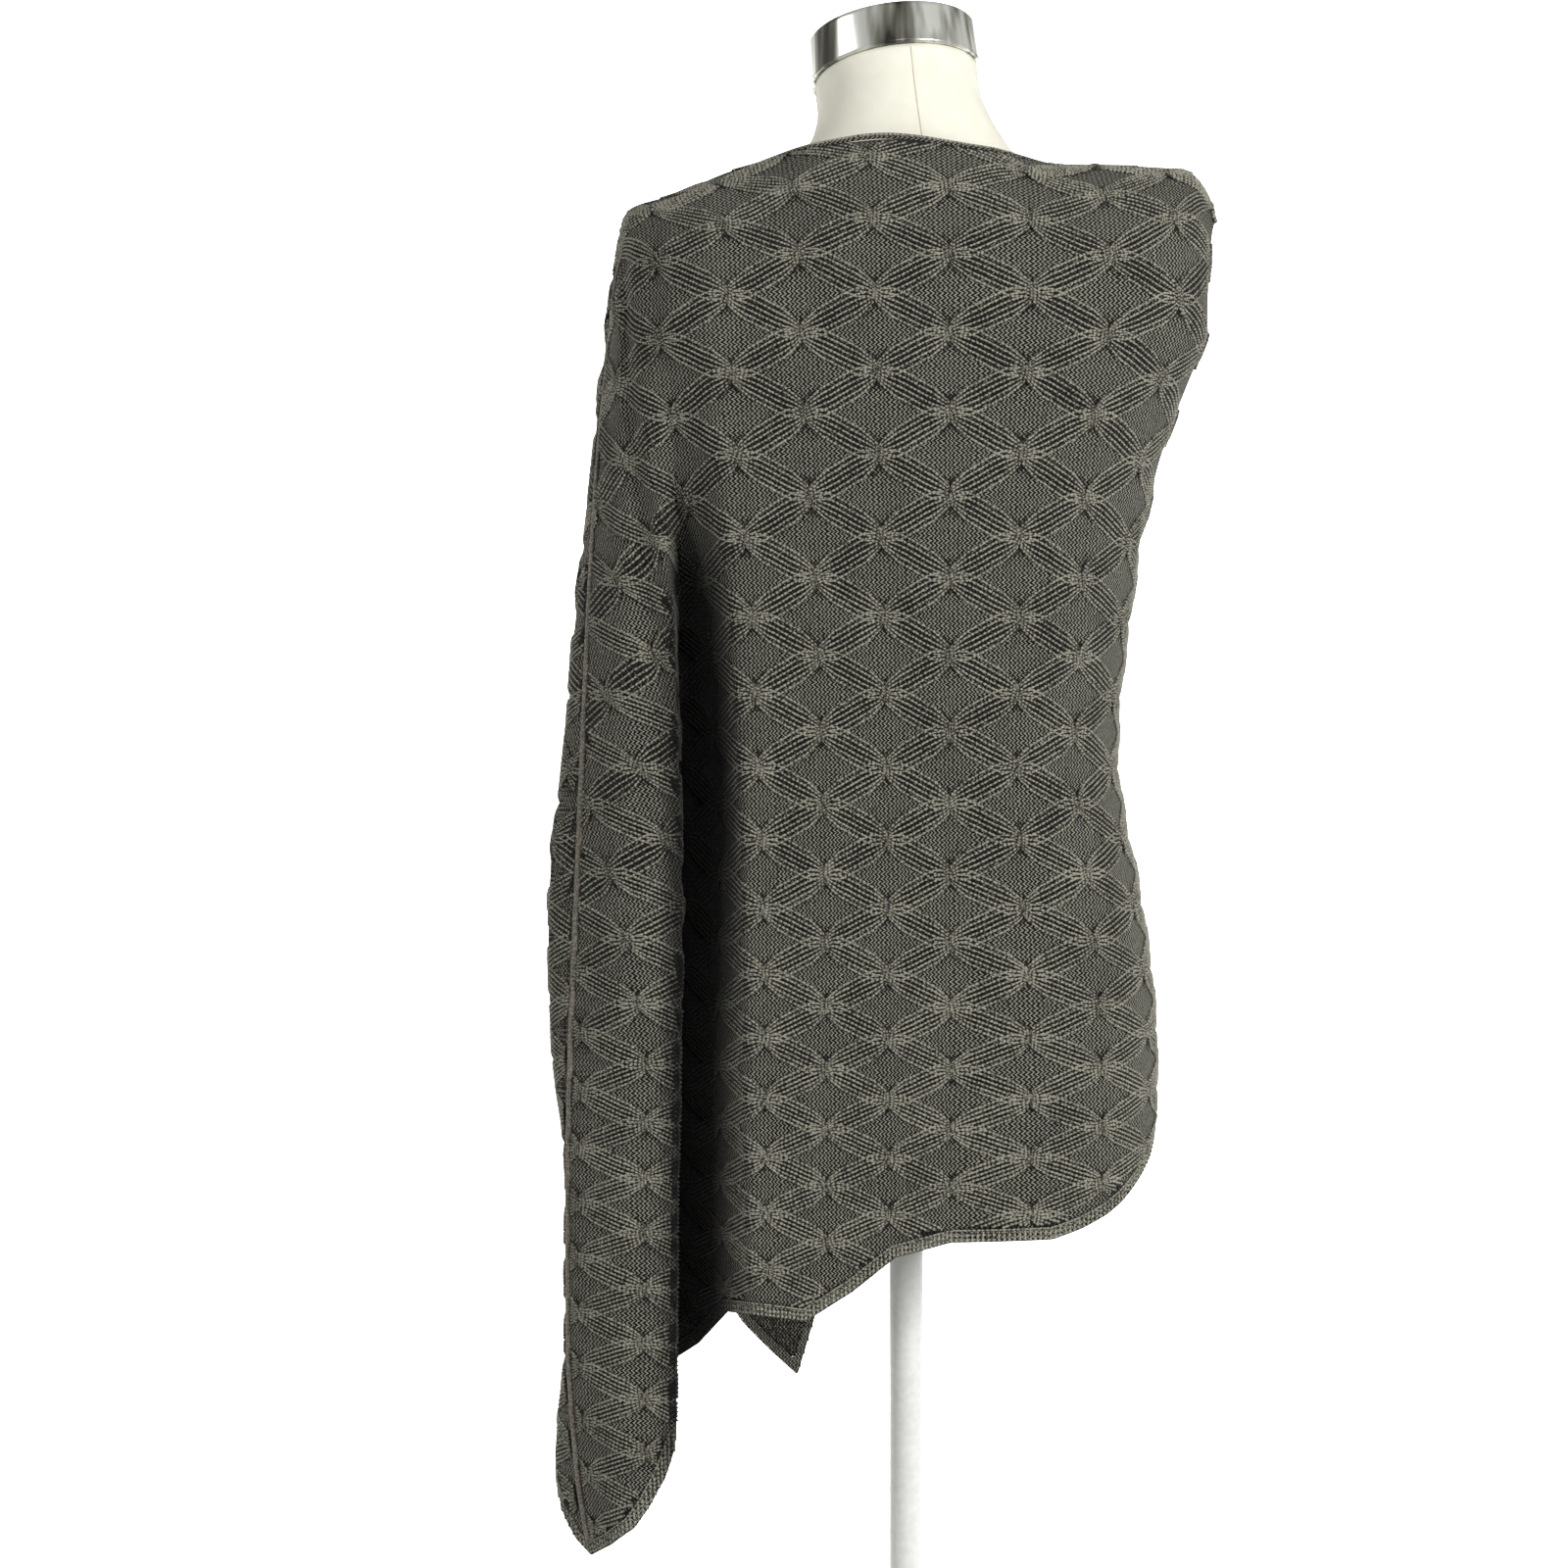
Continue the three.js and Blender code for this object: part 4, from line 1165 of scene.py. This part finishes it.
back_cloth, back_trim = dress_panel("back", back, 230, 190, BACK_NECK_END)
front_cloth, front_trim = dress_panel("front", front, 210, 170, FRONT_NECK_END)


SEAM_TOP = 1086
SEAM_FOOT = 150
SEAM_PLACES = 420
SEAM_RISE = 0.6
SEAM_RADIUS = 3.0
SEAM_FLATNESS = 0.4
SHORT_SEAM_PLACES = 200
SHORT_SEAM_RISE = -0.9
SHORT_SEAM_RADIUS = 2.2
SHORT_SEAM_FLATNESS = 0.8
SLIT_CLOSED = SLIT_LOW + 14


def seam_line():
    """Runs down the long side, from the shoulder's end to the point."""
    heights = np.linspace(SEAM_TOP, SEAM_FOOT, SEAM_PLACES)
    column = straight_read(OUTLINE, "z", "backSeam", heights)
    above = heights > YOKE_HEIGHT
    seam_end, shoulder_end = BACK_EDGE["column"][-1], BACK_EDGE["column"][-2]
    up = (heights[above] - YOKE_HEIGHT) / (SEAM_TOP - YOKE_HEIGHT)
    column[above] = mix(seam_end, shoulder_end, up)
    height = np.minimum(heights, back.top(column))
    rise = np.full(SEAM_PLACES, SEAM_RISE)
    return surface(back, column, height, rise), back.outward(column, height)


back_trim.append(
    cords("long_side_seam", [seam_line()], SEAM_RADIUS, ROUND_SIDES, wool_seam, SEAM_FLATNESS)
)


def short_side_seam():
    """Closes the short side from the foot of the arm slit to the hem."""
    foot = float(back.hem_at(SIDE_COLUMN)) + 2
    height = np.linspace(SLIT_CLOSED, foot, SHORT_SEAM_PLACES)
    column = np.full(SHORT_SEAM_PLACES, SIDE_COLUMN)
    rise = np.full(SHORT_SEAM_PLACES, SHORT_SEAM_RISE)
    return surface(back, column, height, rise), back.outward(column, height)


short_path = [short_side_seam()]
short_look = (SHORT_SEAM_RADIUS, ROUND_SIDES, wool_rib, SHORT_SEAM_FLATNESS)
back_trim.append(cords("short_side_seam", short_path, *short_look))


# The form
def form_point(x, y, z):
    at_shoulder = SHOULDER_TILT * smooth_step(z, TILT_FROM, TILT_FULL)
    tilt = mix(at_shoulder, NECK_TILT, smooth_step(z, NECK_LEAN_FROM, NECK_TILT_FULL))
    above = np.maximum(0, z - NECK_LEAN_FROM)
    lean = NECK_LEAN * smooth_step(z, NECK_LEAN_FROM, NECK_TOP)
    return np.stack([x - above * NECK_TILT, y + above * NECK_LEAN, z + x * tilt - y * lean], axis=-1)


def ring_points(rows, levels, angle):
    """Places on the form's rings, in metres."""
    cos, sin = np.cos(angle), np.sin(angle)
    read = {name: smooth_read(rows, "z", name, levels) for name in rows}
    power = 2 / read["power"]
    x = read["halfWidth"] * np.sign(cos) * np.abs(cos) ** power
    y = read["middleY"] + read["halfDepth"] * np.sign(sin) * np.abs(sin) ** power
    return form_point(x, y, np.broadcast_to(levels, x.shape)) * MM


def ring_loft(name, rows, levels, sides):
    angle = np.linspace(0, 2 * math.pi, sides, endpoint=False)[None, :]
    points = ring_points(rows, levels[:, None], angle)
    count = len(levels)
    faces = grid_faces(count, sides, True, closed=True)
    faces.append(list(range(sides))[::-1])
    faces.append([(count - 1) * sides + i for i in range(sides)])
    uv = np.stack(np.broadcast_arrays(angle / (2 * math.pi), levels[:, None] / 1000), axis=-1)
    piece = new_mesh(name, points, faces, uv)
    for face in piece.data.polygons[-2:]:
        face.use_smooth = False
    return piece


def linen_material():
    n = Nodes("ivory_linen")
    place = n.add("ShaderNodeTexCoord").outputs["Object"]
    warp = n.add("ShaderNodeTexWave", wave_type="BANDS", bands_direction="X")
    weft = n.add("ShaderNodeTexWave", wave_type="BANDS", bands_direction="Z")
    for wave in (warp, weft):
        n.link(place, wave.inputs["Vector"])
        set_inputs(wave, Scale=420, Distortion=1.5, Detail=2)
    weave = n.calculate("MULTIPLY", warp.outputs["Fac"], weft.outputs["Fac"])
    slubs = n.noise(place, 60, 4, 0.6)
    seen = n.calculate("MULTIPLY_ADD", weave, 0.3, n.calculate("MULTIPLY", slubs, 0.7))
    shade = n.ramp(seen, [(0.2, colour(243, 240, 221)), (0.7, colour(254, 252, 238))])
    n.link(shade, n.shader.inputs["Base Color"])
    n.link(n.bump(seen, 0.5, 0.0004), n.shader.inputs["Normal"])
    set_inputs(n.shader, Roughness=0.85)
    return n.material


def steel_material():
    n = Nodes("brushed_cap_painted_reflections")
    place = n.add("ShaderNodeTexCoord").outputs["Object"]
    stretch = n.add("ShaderNodeMapping")
    set_inputs(stretch, Scale=(34, 34, 0.6))
    n.link(place, stretch.inputs["Vector"])
    brushing_and_reflection_streaks = n.noise(stretch.outputs["Vector"], 1, 3, 0.6)
    # The streaks in the colour, from nearly black to nearly white, are painted reflections; in the
    # roughness and bump they are the brushing
    stops = [(0.4, colour(66, 62, 56)), (0.5, colour(150, 150, 138)), (0.6, colour(246, 247, 238))]
    n.link(n.ramp(brushing_and_reflection_streaks, stops), n.shader.inputs["Base Color"])
    rough = n.calculate("MULTIPLY_ADD", brushing_and_reflection_streaks, 0.12, 0.16)
    n.link(rough, n.shader.inputs["Roughness"])
    n.link(n.bump(brushing_and_reflection_streaks, 0.15, 0.0002), n.shader.inputs["Normal"])
    set_inputs(n.shader, Metallic=0.55)
    return n.material


def mottled_material(name, grain, low, high, roughness, depth):
    """An even finish with a slight mottle, from the low shade to the high one."""
    n = Nodes(name)
    place = n.add("ShaderNodeTexCoord").outputs["Object"]
    mottle = n.noise(place, grain, 2, 0.5)
    n.link(n.ramp(mottle, [(0.3, low), (0.7, high)]), n.shader.inputs["Base Color"])
    if depth > 0:
        n.link(n.bump(mottle, 0.12, depth), n.shader.inputs["Normal"])
    set_inputs(n.shader, Roughness=roughness)
    return n.material


linen = linen_material()
steel = steel_material()
enamel = mottled_material(
    "white_enamel", 220, colour(228, 228, 224), colour(238, 238, 235), roughness=0.35, depth=0.0002
)
linen_thread = mottled_material(
    "linen_thread", 900, colour(206, 202, 182), colour(222, 218, 198), roughness=0.9, depth=0
)

FORM_SIDES = 144
FORM_LEVELS = 190
CAP_LEVELS = 40
FORM_FOOT = FORM_RINGS["z"][0]

torso = ring_loft("form_cover", FORM_RINGS, np.linspace(FORM_FOOT, NECK_TOP, FORM_LEVELS), FORM_SIDES)
torso.data.materials.append(linen)


def cap_rings():
    """Rings of the neck cap: how far up each is, and how far in from the cap's side."""
    up_and_in = [
        (0, 1),
        (1, 0),
        (CAP_HEIGHT - 3, 0),
        (CAP_HEIGHT - 0.9, 0.9),
        (CAP_HEIGHT, 3),
        (CAP_HEIGHT + 6, CAP_RADIUS * 0.4),
        (CAP_HEIGHT + 8, CAP_RADIUS * 0.8),
    ]
    seat = NECK_TOP + TOUCH_GAP
    return table(
        ["z", "halfWidth", "halfDepth", "middleY", "power"],
        [[seat + up, CAP_RADIUS - off, CAP_RADIUS - off, 0, 2] for up, off in up_and_in],
    )


cap_rows = cap_rings()
cap_levels = np.linspace(cap_rows["z"][0], cap_rows["z"][-1], CAP_LEVELS)
cap_levels = np.unique(np.concatenate([cap_rows["z"], cap_levels]))
cap = ring_loft("steel_neck_cap", cap_rows, cap_levels, FORM_SIDES)
cap.data.materials.append(steel)

FORM_SEAM_PLACES = 160
FORM_SEAM_RADIUS = 0.5


def form_seam(degrees):
    """One of the four seams down the form's cover."""
    levels = np.linspace(FORM_FOOT + 4, NECK_TOP - 2, FORM_SEAM_PLACES)
    angle = math.radians(degrees)
    out = np.tile([math.cos(angle), math.sin(angle), 0], (len(levels), 1))
    return ring_points(FORM_RINGS, levels, angle), out


form_seams = cords(
    "form_cover_seams",
    [form_seam(degrees) for degrees in (-82, 90, 0.001, 179.999)],
    FORM_SEAM_RADIUS,
    LINE_SIDES,
    linen_thread,
)

for node in ("form_flange", "form_pole", "form_base"):
    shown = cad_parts[node]
    shown.data.materials.clear()
    shown.data.materials.append(enamel)

for piece in [back_cloth, front_cloth, *back_trim, *front_trim, torso, cap, form_seams]:
    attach(piece, "root")
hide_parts("back_panel")
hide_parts("front_panel")
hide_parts("hem_band_back")
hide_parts("hem_band_front")
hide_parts("neck_edge_back")
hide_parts("neck_edge_front")
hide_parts("form_torso")
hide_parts("form_neck_cap")


# Floor, backdrop and light, in metres
FLOOR_NEAR = -4.0
FLOOR_FAR = 4.0
FLOOR_SIDE = 6.0
BACKDROP_HEIGHT = 6.0
BEND = 1.2
BEND_STEPS = 12
LIGHTS = [
    ("key", (2.3, -2.5, 1.6), (0, 0, 0.7), (0.9, 1.2), 97),
    ("front", (0.2, -3.2, 2.4), (0, 0, 0.6), (1.0, 0.6), 22),
    ("side", (-2.9, -1.0, 1.9), (0, 0, 0.95), (1.0, 1.0), 33),
    ("backdrop", (0, 0.9, 2.6), (0, 4.0, 0.9), (3.6, 1.4), 720),
]


def studio_floor():
    n = Nodes("pale_floor")
    set_inputs(n.shader, Base_Color=(0.5, 0.5, 0.5, 1), Roughness=0.9)
    profile = [(FLOOR_NEAR, 0.0)]
    for step in range(BEND_STEPS + 1):
        angle = step / BEND_STEPS * math.pi / 2
        along = FLOOR_FAR - BEND + BEND * math.sin(angle)
        profile.append((along, BEND - BEND * math.cos(angle)))
    profile.append((FLOOR_FAR, BACKDROP_HEIGHT))
    points = [(x, y, z) for y, z in profile for x in (-FLOOR_SIDE, FLOOR_SIDE)]
    faces = [(2 * i, 2 * i + 1, 2 * i + 3, 2 * i + 2) for i in range(len(profile) - 1)]
    floor = new_mesh("floor", np.array(points), faces)
    floor.data.materials.append(n.material)


def area_light(name, place, aim, size, power):
    data = bpy.data.lights.new(name, "AREA")
    data.shape = "RECTANGLE"
    data.size, data.size_y = size
    data.energy = power
    light = add_object(name, data)
    light.location = place
    light.rotation_euler = (Vector(aim) - Vector(place)).to_track_quat("-Z", "Y").to_euler()


def studio():
    studio_floor()
    world = bpy.data.worlds.new("studio")
    world.use_nodes = True
    set_inputs(world.node_tree.nodes["Background"], Color=(1, 1, 1, 1), Strength=0.07)
    bpy.context.scene.world = world
    bpy.context.scene.view_settings.view_transform = "Standard"
    for light in LIGHTS:
        area_light(*light)


studio()
